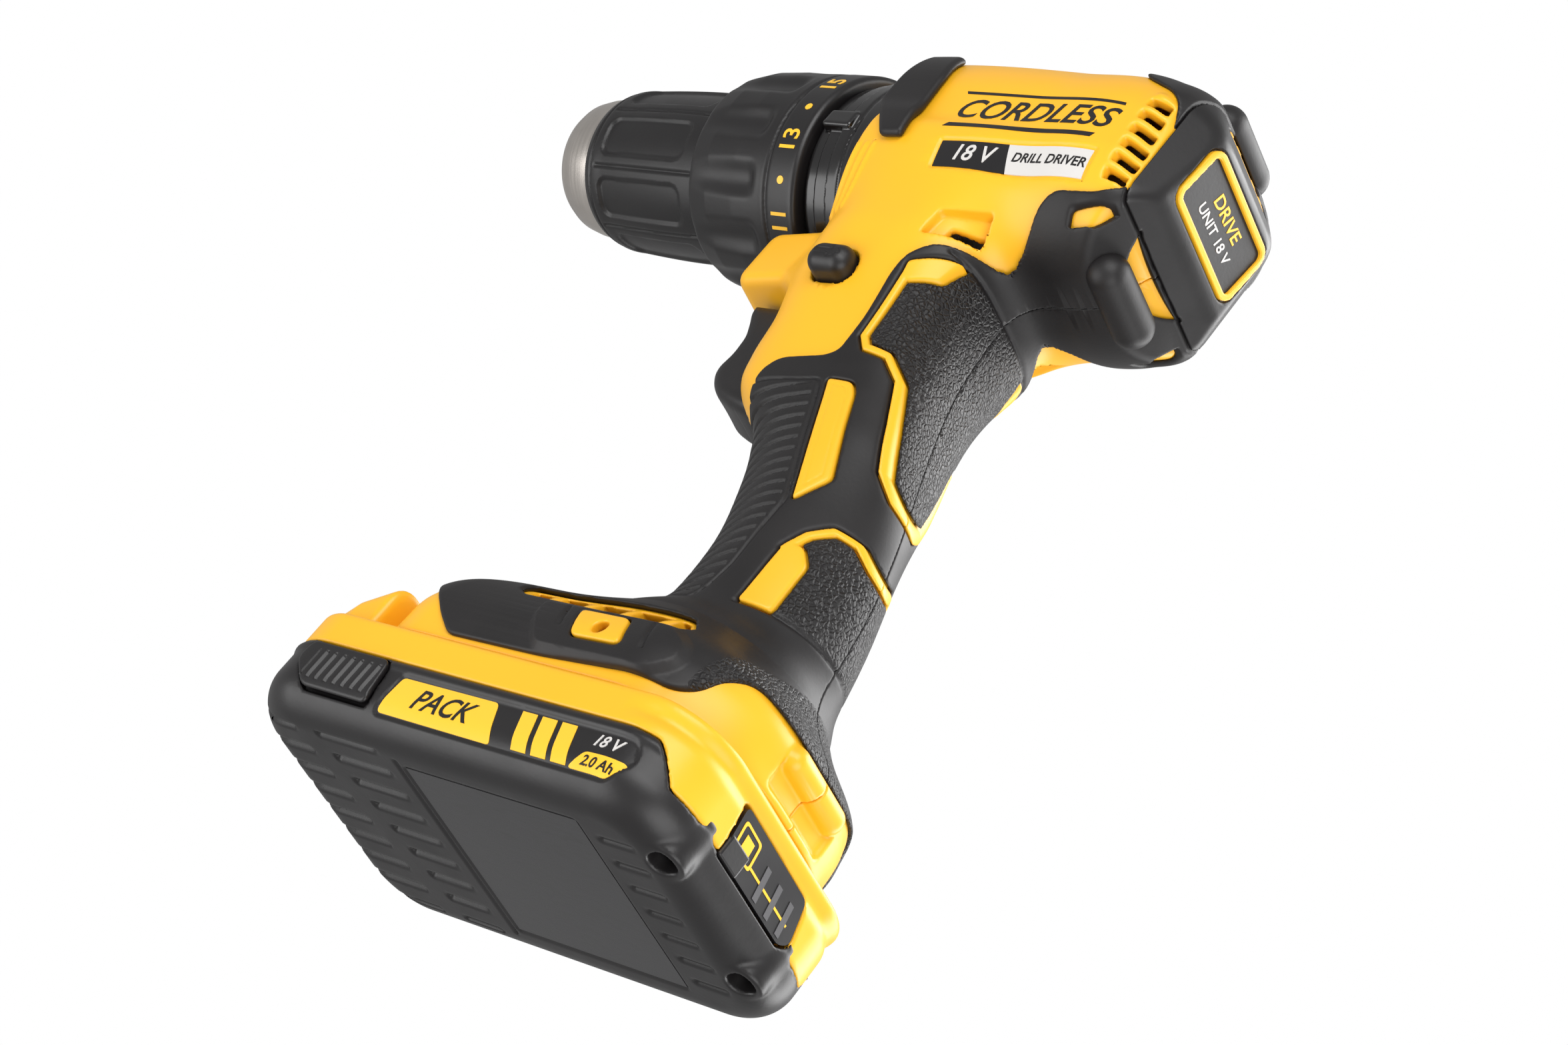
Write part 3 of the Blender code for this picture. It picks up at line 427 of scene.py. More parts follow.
def openings(x, y, z):
    """Everything cut through the housing. Positive inside the openings."""
    holes = -box_3d(x, y, z, (9, -8.3, 114.5), (70, 8.3, 149.8), 1.5)
    holes = np.maximum(holes, -box_3d(x, y, z, (26, -7.4, 222.6), (80, 7.4, 240), 0.6))
    holes = np.maximum(holes, -box_3d(x, y, z, (8.4, -60, 145.0), (20.9, 60, 153.4), 3.8))
    holes = np.maximum(holes, -box_3d(x, y, z, (-47, -20.8, 10), (70, 20.8, 38.6), 1.0))
    holes = np.maximum(holes, np.minimum(25.2 - hypot(y, z - AXIS_Z), x - 16))
    return np.maximum(holes, -capsule(x, y, z, (28, 0, 160.4), (70, 0, 149.4), 3.0))


def rear_loop(x, y, z, form):
    """The cross bar at the back of the foot, over a shallow pocket."""
    form = soft_max(form, -box_3d(x, y, z, (-70, -11, 26.6), (-55.4, 11, 36.5), 1.6), 0.8)
    return soft_min(form, capsule(x, y, z, (-55.8, -8, 34.6), (-55.8, 8, 34.6), 3.0), 0.8)


def rear_end(x, z):
    """The housing stops behind the barrel, where the rear cap begins."""
    return np.where(z > 150, -43.4 - x, -20.0)


def screw_recess(x, y, z, holes):
    """Positive inside the screw recesses, which only the right half has."""
    if not holes:
        return -20.0
    recess = -20.0
    for at_x, at_z in SCREWS:
        recess = np.maximum(recess, 3.0 - hypot(x - at_x, z - at_z))
    return np.where(y > 8, recess, -20.0)


def shell_field(x, y, z, holes=False):
    """One half of the yellow housing."""
    form = rear_loop(x, y, z, body(x, y, z))
    ridges = 0.0
    for at in (22.6, 25.2, 27.8):
        ridges = ridges + 0.35 * np.exp(-((x - at + (z - AXIS_Z) * 0.10) / 0.55) ** 2)
    form = form - np.where((z > 166) & (z < 182), ridges, 0.0)
    rim = polyline(x, z, [(-38, 205.6), (-41.6, 204.4), (-43.0, 198), (-44.0, 190), (-43.8, 184), (-41.6, 180)])
    form = form - 0.45 * np.exp(-(rim / 1.0) ** 2) * (y > 15)
    form = form + 0.5 * np.clip(0.5 - polygon(x, z, LABEL_PLATE) / 0.5, 0, 1) * (y > 10)
    form = form + 0.45 * np.clip(0.5 - (polygon(x, z, OVERMOULD) + 1.0) / 0.8, 0, 1)
    skin = np.maximum(form, -(form + 2.4))
    for cx, cz in VENTS:
        slot = box_2d(x - cx, z - cz, 2.3, 1.25, 0.5)
        skin = np.where(y > 10, soft_max(skin, -slot, 0.5), skin)
    window = box_2d(x + 8.5 + (z - 165) * 0.25, z - 165.2 + (x + 8.5) * 0.32, 5.0, 3.0, 0.8)
    skin = np.where(y > 10, soft_max(skin, -np.maximum(window, -(form + 1.5)), 0.4), skin)
    gap = box_2d(x + 9.6 + (z - 165) * 0.25, z - 164.1 + (x + 8.5) * 0.32, 3.1, 1.5, 0.5)
    skin = np.where(y > 10, soft_max(skin, -gap, 0.3), skin)
    slot_hole = polygon(x, z, FOOT_SLOT) + 1.3
    for rib in (-25.5, -15.5, -5.5, 4):
        slot_hole = np.maximum(slot_hole, 0.9 - np.abs(x - rib))
    skin = np.where(y > 10, soft_max(skin, -slot_hole, 0.4), skin)
    hook = hypot(x + 20.3, z - 34.9) - 1.7
    skin = np.where(y > 25, np.maximum(skin, -hook), skin)
    skin = np.maximum(skin, openings(x, y, z))
    skin = np.maximum(skin, screw_recess(x, y, z, holes))
    return np.maximum(np.maximum(skin, rear_end(x, z)), 0.12 - y)


def overmould_field(x, y, z, holes=False):
    """The black soft skin over the rear of the barrel, the handle and the foot."""
    form = body(x, y, z)
    outer = form - 0.9 - foot_pad_rise(x, z) * (y > 20)
    seam = 1e3
    for line in SEAMS:
        seam = np.minimum(seam, polyline(x, z, line))
    seam = np.minimum(seam, np.abs(polygon(x, z, RIB_ZONE)))
    outer = outer + 0.45 * np.exp(-(seam / 0.42) ** 2)
    along = 0.957 * z + 0.29 * x
    groove = np.abs((along / 3.3) % 1 - 0.5) * 3.3
    inside_ribs = np.clip(-(polygon(x, z, RIB_ZONE) + 1.0) / 0.6, 0, 1)
    outer = outer + 0.75 * np.clip(1 - groove / 0.62, 0, 1) * inside_ribs
    skin = soft_max(outer, -(form + 0.5), 0.2)
    region = polygon(x, z, OVERMOULD)
    region = np.maximum(region, 0.35 - accents_2d(x, z))
    region = np.where(y > 18, np.maximum(region, -polygon(x, z, SIDE_VENT) - 0.5), region)
    region = np.where(x < -36, np.maximum(region, -moons_2d(y, z)), region)
    region = np.maximum(region, -polygon(x, z, FOOT_SLOT))
    region = np.where(y > 25, np.maximum(region, 0.3 - polygon(x, z, HOOK_SQUARE)), region)
    skin = soft_max(skin, region, 0.7)
    skin = np.maximum(skin, openings(x, y, z))
    skin = np.maximum(skin, screw_recess(x, y, z, holes))
    return np.maximum(np.maximum(skin, rear_end(x, z)), 0.06 - y)


def right_shell_field(x, y, z):
    return shell_field(x, y, z, True)


def right_overmould_field(x, y, z):
    return overmould_field(x, y, z, True)


def accent_field(x, y, z):
    form = body(x, y, z)
    skin = soft_max(form - 1.0, -(form + 0.4), 0.2)
    letters = 0.25 * np.clip(0.5 - np.abs(polygon(x, z, FRONT_INLAY) + 1.6) / 0.5, 0, 1)
    skin = np.maximum(skin, form - 1.0 + letters)
    region = accents_2d(x, z)
    square = np.maximum(polygon(x, z, HOOK_SQUARE), -(hypot(x + 20.3, z - 34.9) - 1.7))
    raised = soft_max(form - 2.2, -(form - 0.1), 0.2)
    hook = soft_max(np.where(y > 25, square, 5.0), raised, 0.6)
    strips = soft_max(skin, region, 0.6)
    return np.maximum(np.minimum(strips, hook), 0.06 - y)


def pad_field(x, y, z):
    form = body(x, y, z)
    skin = soft_max(form - 2.0, -(form - 0.05), 0.4)
    skin = np.maximum(skin, 26.5 - hypot(y, z - AXIS_Z))
    return np.maximum(soft_max(skin, polygon(x, z, FRONT_PAD), 1.4), 14.5 - y)


def cap_form(x, y, z):
    """The rear end of the barrel with its facets."""
    return barrel(x, y, z) - 0.7


def crescent(y, z, tip_z, belly, way):
    """A lens between two arcs: tips at y = 11.5, belly to one side."""
    half = 11.6
    outer = (half ** 2 + belly ** 2) / (2 * belly)
    inner_belly = belly * 0.12
    inner = (half ** 2 + inner_belly ** 2) / (2 * inner_belly)
    up = (z - tip_z) * way
    return np.maximum(hypot(y, up - belly + outer) - outer, -(hypot(y, up - inner_belly + inner) - inner))


def moons_2d(y, z):
    """The two crescents, above and below the label panel."""
    return np.minimum(crescent(y, z, 178.4, 5.6, -1), crescent(y, z, 212.4, 5.6, 1))


def label_frame(y, z):
    return box_2d(y, z - 195.6, 15.4, 8.2, 3.2)


def cap_yellow_2d(y, z):
    ring = np.maximum(label_frame(y, z), -(label_frame(y, z) + 1.5))
    return np.minimum(ring, moons_2d(y, z))


def cap_field(x, y, z):
    form = cap_form(x, y, z)
    panel = np.clip(0.5 - (label_frame(y, z) + 0.2) / 0.6, 0, 1)
    recess = np.clip(0.5 - (cap_yellow_2d(y, z) - 0.35) / 0.3, 0, 1)
    lower = form + 0.45 * panel + 0.8 * recess * (1 - panel)
    hollow = np.maximum(np.maximum(hypot(y, z - AXIS_Z) - 17.5, -46 - x), form + 2.4)
    lower = np.maximum(lower, -hollow)
    return np.maximum(lower, x + 43.65)


def cap_yellow_field(x, y, z):
    form = cap_form(x, y, z)
    ring = np.maximum(label_frame(y, z), -(label_frame(y, z) + 1.5))
    frame_ring = np.maximum(ring, np.maximum(form - 0.3, -(form + 1.0)))
    moons = moons_2d(y, z)
    fins = np.maximum(moons + 0.8, 1.1 - np.abs(np.abs(y) - 4.6))
    dip = 0.5 * np.clip(-fins / 0.5, 0, 1)
    moon = np.maximum(moons, np.maximum(form + 0.15 + dip, -(form + 1.6)))
    return np.maximum(np.minimum(frame_ring, moon), x + 43.7)


def bumper_field(x, y, z):
    """Rounded bars across the rear edges, above and below."""
    bars = np.minimum(capsule(x, y, z, (-39.2, -7, 170.2), (-39.2, 7, 170.2), 4.8),
                      capsule(x, y, z, (-38.8, -7, 219.0), (-38.8, 7, 219.0), 4.8))
    form = np.minimum(body(x, y, z), barrel(x, y, z)) - 0.5
    return soft_max(soft_max(bars, -form, 0.3), -44.5 - x, 2)


# ---------------------------------------------------------------- drive line pieces

def turned(name, outline, steps=144):
    """A closed outline of (x, r) in mm, turned about the drive line."""
    count = len(outline)
    verts, faces = [], []
    for i in range(steps):
        angle = 2 * math.pi * i / steps
        for x, r in outline:
            verts.append((x * MM, r * MM * math.cos(angle), (AXIS_Z + r * math.sin(angle)) * MM))
    for i in range(steps):
        a = i * count
        b = (i + 1) % steps * count
        for j in range(count):
            k = (j + 1) % count
            if outline[j][1] == 0 and outline[k][1] == 0:
                continue
            faces.append((a + j, b + j, b + k, a + k))
    mesh = bpy.data.meshes.new(name)
    mesh.from_pydata(verts, [], faces)
    piece = bpy.data.objects.new(name, mesh)
    bpy.context.scene.collection.objects.link(piece)
    weld = bmesh.new()
    weld.from_mesh(mesh)
    bmesh.ops.remove_doubles(weld, verts=weld.verts, dist=1e-7)
    bmesh.ops.dissolve_degenerate(weld, edges=weld.edges, dist=1e-7)
    bmesh.ops.recalc_face_normals(weld, faces=weld.faces)
    weld.to_mesh(mesh)
    weld.free()
    smooth_by_angle(piece, 35)
    return piece


def smooth_by_angle(piece, degrees):
    """Smooth shading that keeps edges sharper than the given angle."""
    mesh = piece.data
    mesh.polygons.foreach_set("use_smooth", [True] * len(mesh.polygons))
    limit = math.radians(degrees)
    work = bmesh.new()
    work.from_mesh(mesh)
    for edge in work.edges:
        edge.smooth = len(edge.link_faces) == 2 and edge.calc_face_angle(0) < limit
    work.to_mesh(mesh)
    work.free()


def collar_field(x, y, z):
    """Torque collar: a smooth number band behind, grip scallops open to the front."""
    r = hypot(y, z - AXIS_Z)
    outer = np.interp(x, (48, 50, 57.6, 60, 69, 78, 84, 86), (26.8, 27, 27, 26.9, 27.0, 26.5, 25.2, 24.4))
    form = soft_max(r - outer, np.maximum(49 - x, x - 85.4), 1.6)
    form = form + 0.55 * np.exp(-((x - 58.2) / 0.55) ** 2)
    angle = np.arctan2(z - AXIS_Z, y)
    pitch = 2 * math.pi / 12
    local = (angle / pitch) % 1 - 0.5
    across = r * np.sin(local * pitch)
    depth = r * np.cos(local * pitch)
    scallop = hypot(across, np.maximum(depth - 31.2, 31.2 - depth)) - 5.9
    scallop = soft_max(scallop, 62.2 - x, 3.0)
    form = soft_max(form, -scallop, 1.2)
    bore = np.where(x < 82, 22.4, 21)
    return np.maximum(form, bore - r)


def sleeve_field(x, y, z):
    """Chuck sleeve: recessed panels between paired long ribs."""
    r = hypot(y, z - AXIS_Z)
    outer = smooth_line(x, (80, 82, 120, 124.5, 128), (19.8, 20, 20, 19.7, 18.4))
    form = soft_max(r - outer, np.maximum(80.4 - x, x - 127.7), 0.9)
    angle = np.arctan2(z - AXIS_Z, y)
    pitch = 2 * math.pi / 8
    local = ((angle / pitch) % 1 - 0.5) * pitch * 20
    panel = box_2d(x - 107.2, local, 14.2, 4.9, 2.6)
    form = form + 0.75 * np.clip(0.5 - panel / 0.9, 0, 1)
    gap = np.abs(np.abs(local) - 7.85)
    long_rib = np.maximum(np.abs(x - 106) - 16.5, 0)
    form = form + 0.5 * np.exp(-(gap / 0.45) ** 2) * np.clip(1 - long_rib, 0, 1)
    form = form + 0.45 * np.exp(-((x - 124.6) / 0.4) ** 2)
    bore = np.where(x < 124, 18.3, 17.9)
    return np.maximum(form, bore - r)


def case_field(x, y, z):
    """Gear case: glossy stepped rings, with a lug on each side that locks into the housing."""
    r = hypot(y, z - AXIS_Z)
    outer = np.where(x < 40.5, 26.0, np.where(x < 44.5, 25.2, 24.4))
    form = soft_max(r - outer, np.maximum(30.2 - x, x - 48.2), 0.8)
    form = form + 0.35 * np.exp(-((x - 36.8) / 0.4) ** 2)
    lug = box_3d(x, np.abs(y), z, (38, 23.5, 188.5), (46.5, 26.6, 193.5), 0.8)
    form = soft_min(form, lug, 0.4)
    return np.maximum(form, 22.3 - r)


def trigger_field(x, y, z):
    """The trigger lever: concave in front, with rounded cheeks."""
    outline = [
        (18.9, 121), (19.6, 138), (29.5, 139), (31.5, 149), (46.3, 149), (46.2, 146), (44.2, 142.6), (42.2, 138.4),
        (41.7, 133), (42.4, 128.8), (41.8, 126.2), (39.8, 123.4), (36.8, 121.2), (32, 119.4), (27, 118.2), (21, 118),
    ]
    profile = polygon(x, z, rounded(outline, 1.6))
    dish = 1.0 * np.exp(-((z - 133) / 9.0) ** 2) * np.exp(-(y / 5.5) ** 2) * (x > 30)
    return soft_max(profile + dish, np.abs(y) - 7.8, 3.6)


def button_field(x, y, z):
    """Cross button of the direction switch, with an arrow pressed into each end."""
    form = box_3d(x, y, z, (8.9, -26.4, 145.5), (20.4, 26.4, 152.9), 3.4)
    form = soft_max(form, -box_3d(x, y, z, (3, -12, 130), (13, 12, 160), 0.5), 0.4)
    side = np.abs(y)
    arrow = polygon(x, z, [(10.8, 149.2), (13.8, 151.4), (13.8, 149.9), (18, 149.9), (18, 148.5), (13.8, 148.5), (13.8, 147)])
    return np.where(side > 20, np.maximum(form, -np.maximum(arrow, 26.0 - side)), form)


def selector_field(x, y, z):
    """Speed selector: a slider with finger ridges."""
    form = box_3d(x, y, z, (35.1, -6.9, 223.0), (52.9, 6.9, 226.8), 1.0)
    ridge = np.abs(((x - 36.5) / 2.6) % 1 - 0.5) * 2.6
    groove = 0.5 * np.clip(1 - ridge / 0.5, 0, 1) * (np.abs(x - 44) < 6.6) * (z > 225)
    return form + groove


# ---------------------------------------------------------------- battery pack pieces

def pack_form(x, y, z):
    """Outer form of the pack: rounded corners, a rounded bottom edge and a slope at the front."""
    side = box_2d(x, y, 59, 35, 16)
    edge = 8.5
    low = hypot(np.maximum(side + edge, 0), np.maximum(edge - z, 0)) + np.minimum(np.maximum(side + edge, edge - z), 0) - edge
    return soft_max(low, z - 24.2, 1.6)


def split_height(x, y):
    """Height of the line between the yellow upper shell and the black body: lower at the rear corners."""
    return 15.9 - 6.6 * np.clip((-x - 50.5) / 5.5, 0, 1) ** 1.5


def front_slope(x, y, z):
    """The raised front of the upper shell, which slopes down from the foot to the front edge."""
    half_width = np.interp(x, (36, 48, 60), (32.5, 31.5, 27))
    top = z - np.interp(x, (30, 40, 48, 54, 60), (39.4, 36.8, 32.0, 28.0, 23.4))
    form = soft_max(np.abs(y) - half_width, top, 5)
    return soft_max(form, np.maximum(39.6 - x, x - 58.6), 2.0)


def top_field(x, y, z):
    form = pack_form(x, y, z)
    dent = 0.8 * np.exp(-((z - 20.2) / 1.6) ** 2) * np.clip((-x - 40) / 6, 0, 1)
    form = form + dent
    upper = soft_max(form, split_height(x, y) + 0.25 - z, 0.5)
    upper = soft_min(upper, soft_max(front_slope(x, y, z), 20 - z, 1), 1.0)
    rail = box_3d(x, y, z, (-42, -20, 20), (45, 20, 33), 0.8)
    upper = np.minimum(upper, rail)
    hollow = box_3d(x, y, z, (-51.2, -33.1, -10), (51.2, 33.1, 23.1), 5)
    gauge = gauge_panel(x, y, z) - 0.25
    upper = np.maximum(upper, -gauge)
    upper = np.maximum(upper, -box_3d(x, y, z, (-62, 4.7, 8.7), (-50, 12.3, 14.3), 0.3))
    return np.maximum(upper, -hollow)


def gauge_panel(x, y, z):
    """The dark slanted panel of the charge gauge on the rear face."""
    outline = rounded([(13.6, 20), (-13.4, 19.6), (-16.8, 11.2), (-14.2, 8.9), (11.6, 8.8)], 1.4)
    flat = polygon(y, z, outline)
    return np.maximum(flat, np.maximum(x + 55.6, -59.6 - x))


def button_window(x, y, z, grow):
    side = np.abs(y)
    region = polygon(x, z, rounded([(19.6, 4.8), (39.5, 4.9), (45.4, 10.5), (44.8, 15.2), (21.4, 15.2)], 1.8)) - grow
    return np.maximum(region, 33.2 - side)


def bottom_field(x, y, z):
    form = pack_form(x, y, z)
    belly = 1.1 * np.clip((np.abs(x) - 4) / 40, 0, 1) * 0
    form = form - belly
    lip = 0.5 * np.exp(-((z - 14.6) / 0.9) ** 2)
    form = form - lip
    label = rounded([(17.6, 4.0), (16.4, 13.4), (-48.6, 13.6), (-50.6, 9.6), (-47, 4.0)], 1.6)
    form = form + 0.5 * np.clip(0.5 - polygon(x, z, label) / 0.5, 0, 1) * (np.abs(y) > 30)
    across = np.abs(((y + 3.4) / 6.8) % 1 - 0.5) * 6.8
    strip = np.abs(x - 36 - y * 0.12) - 3.2
    front = np.clip((x - 17) / 2, 0, 1) * np.clip(strip / 0.8, 0, 1) * (z < 13.4) * (np.abs(y) < 27.5)
    form = form + 1.3 * np.clip(1 - across / 1.25, 0, 1) * front
    rear = np.clip((-x - 40.5) / 1, 0, 1) * np.clip((50.5 + x) / 1, 0, 1) * (z < 4) * (np.abs(y) < 25)
    form = form + 0.8 * np.clip(1 - across / 1.0, 0, 1) * rear
    line = np.exp(-((x - 12.8) / 0.4) ** 2) * (np.abs(y) < 26) * (z < 3)
    form = form + 0.7 * line
    sticker = box_2d(x + 13, y, 24.4, 24.6, 1.0)
    form = form + 0.35 * np.clip(0.5 - sticker / 0.4, 0, 1) * (z < 3)
    form = np.maximum(form, z - split_height(x, y))
    form = soft_max(form, z - split_height(x, y) - 0.3, 0.3)
    for side in (-1, 1):
        hole = hypot(x + 54.6, y - 17 * side)
        form = soft_min(form, soft_max(hole - 4.6, np.maximum(1.2 - z, z - 12), 1.0), 1.0)
        form = soft_max(form, -np.maximum(hole - 3.0, z - 5.6), 0.4)
        form = np.maximum(form, 1.5 - hole)
    form = np.maximum(form, -(gauge_panel(x, y, z) - 0.25))
    form = np.maximum(form, -box_3d(x, y, z, (-62, 4.7, 8.7), (-50, 12.3, 14.3), 0.3))
    hollow = np.maximum(box_3d(x, y, z, (-51.2, -33.1, 2.4), (51.2, 33.1, 40), 5), 0)
    cavity = box_3d(x, y, z, (-50.8, -32.9, 2.6), (50.8, 32.9, 60), 3.4)
    form = np.maximum(form, -np.where(hollow > 0, 1.0, cavity) * 1.0)
    return np.maximum(form, -button_window(x, y, z, 0.28))


def release_field(x, y, z):
    """Release button with finger ridges, flush in the side of the pack."""
    form = pack_form(x, y, z) - 1.0
    ridge = np.abs((((x - 21) / 2.7) % 1) - 0.5) * 2.7
    form = form + 0.7 * np.clip(1 - ridge / 0.7, 0, 1) * (np.abs(z - 10) < 3.4) * (x < 41)
    form = soft_max(form, 34.5 - y, 0.3)
    return soft_max(form, button_window(x, y, z, -0.02), 0.5)


# ---------------------------------------------------------------- marks laid on the surfaces

def flat_text(words, size, shear=0.0):
    """Filled outlines of words as a flat mesh in a plane, centred."""
    curve = bpy.data.curves.new("words", "FONT")
    curve.body = words
    curve.size = size
    curve.shear = shear
    curve.align_x = "CENTER"
    curve.align_y = "CENTER"
    curve.offset = size * 0.012
    curve.resolution_u = 4
    holder = bpy.data.objects.new("words", curve)
    bpy.context.scene.collection.objects.link(holder)
    graph = bpy.context.evaluated_depsgraph_get()
    mesh = bpy.data.meshes.new_from_object(holder.evaluated_get(graph))
    work = bmesh.new()
    work.from_mesh(mesh)
    bpy.data.objects.remove(holder)
    bpy.data.curves.remove(curve)
    bpy.data.meshes.remove(mesh)
    return work


def flat_outline(points):
    work = bmesh.new()
    work.faces.new([work.verts.new((u, v, 0)) for u, v in points])
    return work


def slice_up(work, pitch):
    """Cuts a flat mesh into strips and cells so that it can follow a curved surface."""
    us = [v.co.x for v in work.verts]
    vs = [v.co.y for v in work.verts]
    for axis, low, high in ((0, min(us), max(us)), (1, min(vs), max(vs))):
        steps = int((high - low) / pitch)
        for i in range(1, steps + 1):
            at = [0, 0, 0]
            at[axis] = low + i * pitch
            normal = [0, 0, 0]
            normal[axis] = 1
            bmesh.ops.bisect_plane(work, geom=work.verts[:] + work.edges[:] + work.faces[:], dist=1e-5,
                                   plane_co=at, plane_no=normal)


def decal(name, work, place, thick=0.12):
    """A thin closed mark: the flat mesh's points are put on a surface by place, then given a thickness.

    place takes arrays u, v and a height over the surface, and returns positions in mm.
    """
    bmesh.ops.remove_doubles(work, verts=work.verts, dist=1e-4)
    u = np.array([v.co.x for v in work.verts])
    v = np.array([v.co.y for v in work.verts])
    faces = [[vert.index for vert in face.verts] for face in work.faces]
    rims = [(e.verts[0].index, e.verts[1].index, e.link_faces[0]) for e in work.edges if len(e.link_faces) == 1]
    count = len(u)
    top = place(u, v, thick)
    low = place(u, v, -0.12)
    verts = np.concatenate([top, low]) * MM
    all_faces = [tuple(face) for face in faces] + [tuple(i + count for i in reversed(face)) for face in faces]
    for a, b, face in rims:
        order = [vert.index for vert in face.verts]
        at = order.index(a)
        if order[(at + 1) % len(order)] != b:
            a, b = b, a
        all_faces.append((b, a, a + count, b + count))
    work.free()
    mesh = bpy.data.meshes.new(name)
    mesh.from_pydata(verts.tolist(), [], all_faces)
    mesh.validate()
    piece = bpy.data.objects.new(name, mesh)
    bpy.context.scene.collection.objects.link(piece)
    smooth_by_angle(piece, 40)
    work = bmesh.new()
    work.from_mesh(mesh)
    bmesh.ops.recalc_face_normals(work, faces=work.faces)
    work.to_mesh(mesh)
    work.free()
    return piece


def on_side(field, side, start=45.0, sink=0.0):
    """place for marks seen from the side: u is x and v is z. Points are moved along Y onto the field."""
    def place(u, v, height):
        y = np.full(len(u), start)
        for _ in range(60):
            y = y - np.clip(field(u, y, v) - height + sink, -0.5, 0.8)
        return np.stack([u, y * side, v], 1)
    return place


def turned_flat(work, centre, angle, mirror=False):
    """Turns the flat mesh by an angle and moves it to centre; the mirror argument is not used."""
    c, s = math.cos(angle), math.sin(angle)
    for v in work.verts:
        u, w = v.co.x, v.co.y
        v.co = (centre[0] + (-1 if mirror else 1) * 0 + u * c - w * s, centre[1] + u * s + w * c, 0)
    return work


# ---------------------------------------------------------------- materials

def start_material(name):
    made = bpy.data.materials.new(name)
    made.use_nodes = True
    tree = made.node_tree
    tree.nodes.clear()
    out = tree.nodes.new("ShaderNodeOutputMaterial")
    shader = tree.nodes.new("ShaderNodeBsdfPrincipled")
    tree.links.new(shader.outputs[0], out.inputs[0])
    place = tree.nodes.new("ShaderNodeTexCoord")
    return made, tree, shader, place


def noise(tree, place, scale, detail=3.0, rough=0.5):
    node = tree.nodes.new("ShaderNodeTexNoise")
    node.inputs["Scale"].default_value = scale
    node.inputs["Detail"].default_value = detail
    node.inputs["Roughness"].default_value = rough
    tree.links.new(place.outputs["Object"], node.inputs["Vector"])
    return node


def spread(tree, source, low, high):
    """Maps a 0 to 1 value to the range low to high."""
    node = tree.nodes.new("ShaderNodeMapRange")
    node.inputs["From Min"].default_value = 0.25
    node.inputs["From Max"].default_value = 0.75
    node.inputs["To Min"].default_value = low
    node.inputs["To Max"].default_value = high
    tree.links.new(source, node.inputs["Value"])
    return node.outputs[0]


def tint(tree, source, dark, light):
    node = tree.nodes.new("ShaderNodeValToRGB")
    node.color_ramp.elements[0].position = 0.3
    node.color_ramp.elements[1].position = 0.7
    node.color_ramp.elements[0].color = (*dark, 1)
    node.color_ramp.elements[1].color = (*light, 1)
    tree.links.new(source, node.inputs[0])
    return node.outputs[0]


def relief(tree, source, distance, strength=1.0, before=None):
    node = tree.nodes.new("ShaderNodeBump")
    node.inputs["Distance"].default_value = distance
    node.inputs["Strength"].default_value = strength
    tree.links.new(source, node.inputs["Height"])
    if before is not None:
        tree.links.new(before, node.inputs["Normal"])
    return node.outputs[0]


def plastic(name, colour, rough=0.4, vary=0.06, grain=0.00002, grain_scale=1500, coat=0.0, specular=0.5):
    """Moulded plastic: slight colour drift, uneven gloss and a fine spark-eroded texture."""
    made, tree, shader, place = start_material(name)
    broad = noise(tree, place, 18, 2)
    dark = tuple(c * (1 - vary) for c in colour)
    light = tuple(min(1, c * (1 + vary)) for c in colour)
    tree.links.new(tint(tree, broad.outputs[0], dark, light), shader.inputs["Base Color"])
    patch = noise(tree, place, 60, 4, 0.6)
    tree.links.new(spread(tree, patch.outputs[0], rough - 0.05, rough + 0.07), shader.inputs["Roughness"])
    fine = noise(tree, place, grain_scale, 2)
    tree.links.new(relief(tree, fine.outputs[0], grain, 0.6), shader.inputs["Normal"])
    shader.inputs["Specular IOR Level"].default_value = specular
    shader.inputs["Coat Weight"].default_value = coat
    shader.inputs["Coat Roughness"].default_value = 0.12
    return made


def rubber(name, colour):
    """Soft overmould: leather-like cells where the grain attribute is 1, fine matt texture elsewhere."""
    made, tree, shader, place = start_material(name)
    mask = tree.nodes.new("ShaderNodeAttribute")
    mask.attribute_name = "grain"
    broad = noise(tree, place, 40, 4, 0.6)
    dark = tuple(c * 0.8 for c in colour)
    light = tuple(c * 1.35 for c in colour)
    tree.links.new(tint(tree, broad.outputs[0], dark, light), shader.inputs["Base Color"])
    tree.links.new(spread(tree, broad.outputs[0], 0.42, 0.56), shader.inputs["Roughness"])
    shader.inputs["Specular IOR Level"].default_value = 0.42
    cells = tree.nodes.new("ShaderNodeTexVoronoi")
    cells.feature = "DISTANCE_TO_EDGE"
    cells.inputs["Scale"].default_value = 900
    bend = noise(tree, place, 500, 2)
    shift = tree.nodes.new("ShaderNodeVectorMath")
    shift.operation = "MULTIPLY_ADD"
    shift.inputs[1].default_value = (0.0012, 0.0012, 0.0012)
    tree.links.new(bend.outputs[1], shift.inputs[0])
    tree.links.new(place.outputs["Object"], shift.inputs[2])
    tree.links.new(shift.outputs[0], cells.inputs["Vector"])
    level = tree.nodes.new("ShaderNodeMapRange")
    level.inputs["From Max"].default_value = 0.25
    tree.links.new(cells.outputs[0], level.inputs["Value"])
    masked = tree.nodes.new("ShaderNodeMath")
    masked.operation = "MULTIPLY"
    tree.links.new(level.outputs[0], masked.inputs[0])
    tree.links.new(mask.outputs["Fac"], masked.inputs[1])
    first = relief(tree, masked.outputs[0], 0.00022, 1.0)
    fine = noise(tree, place, 1300, 2)
    tree.links.new(relief(tree, fine.outputs[0], 0.00003, 0.7, first), shader.inputs["Normal"])
    return made


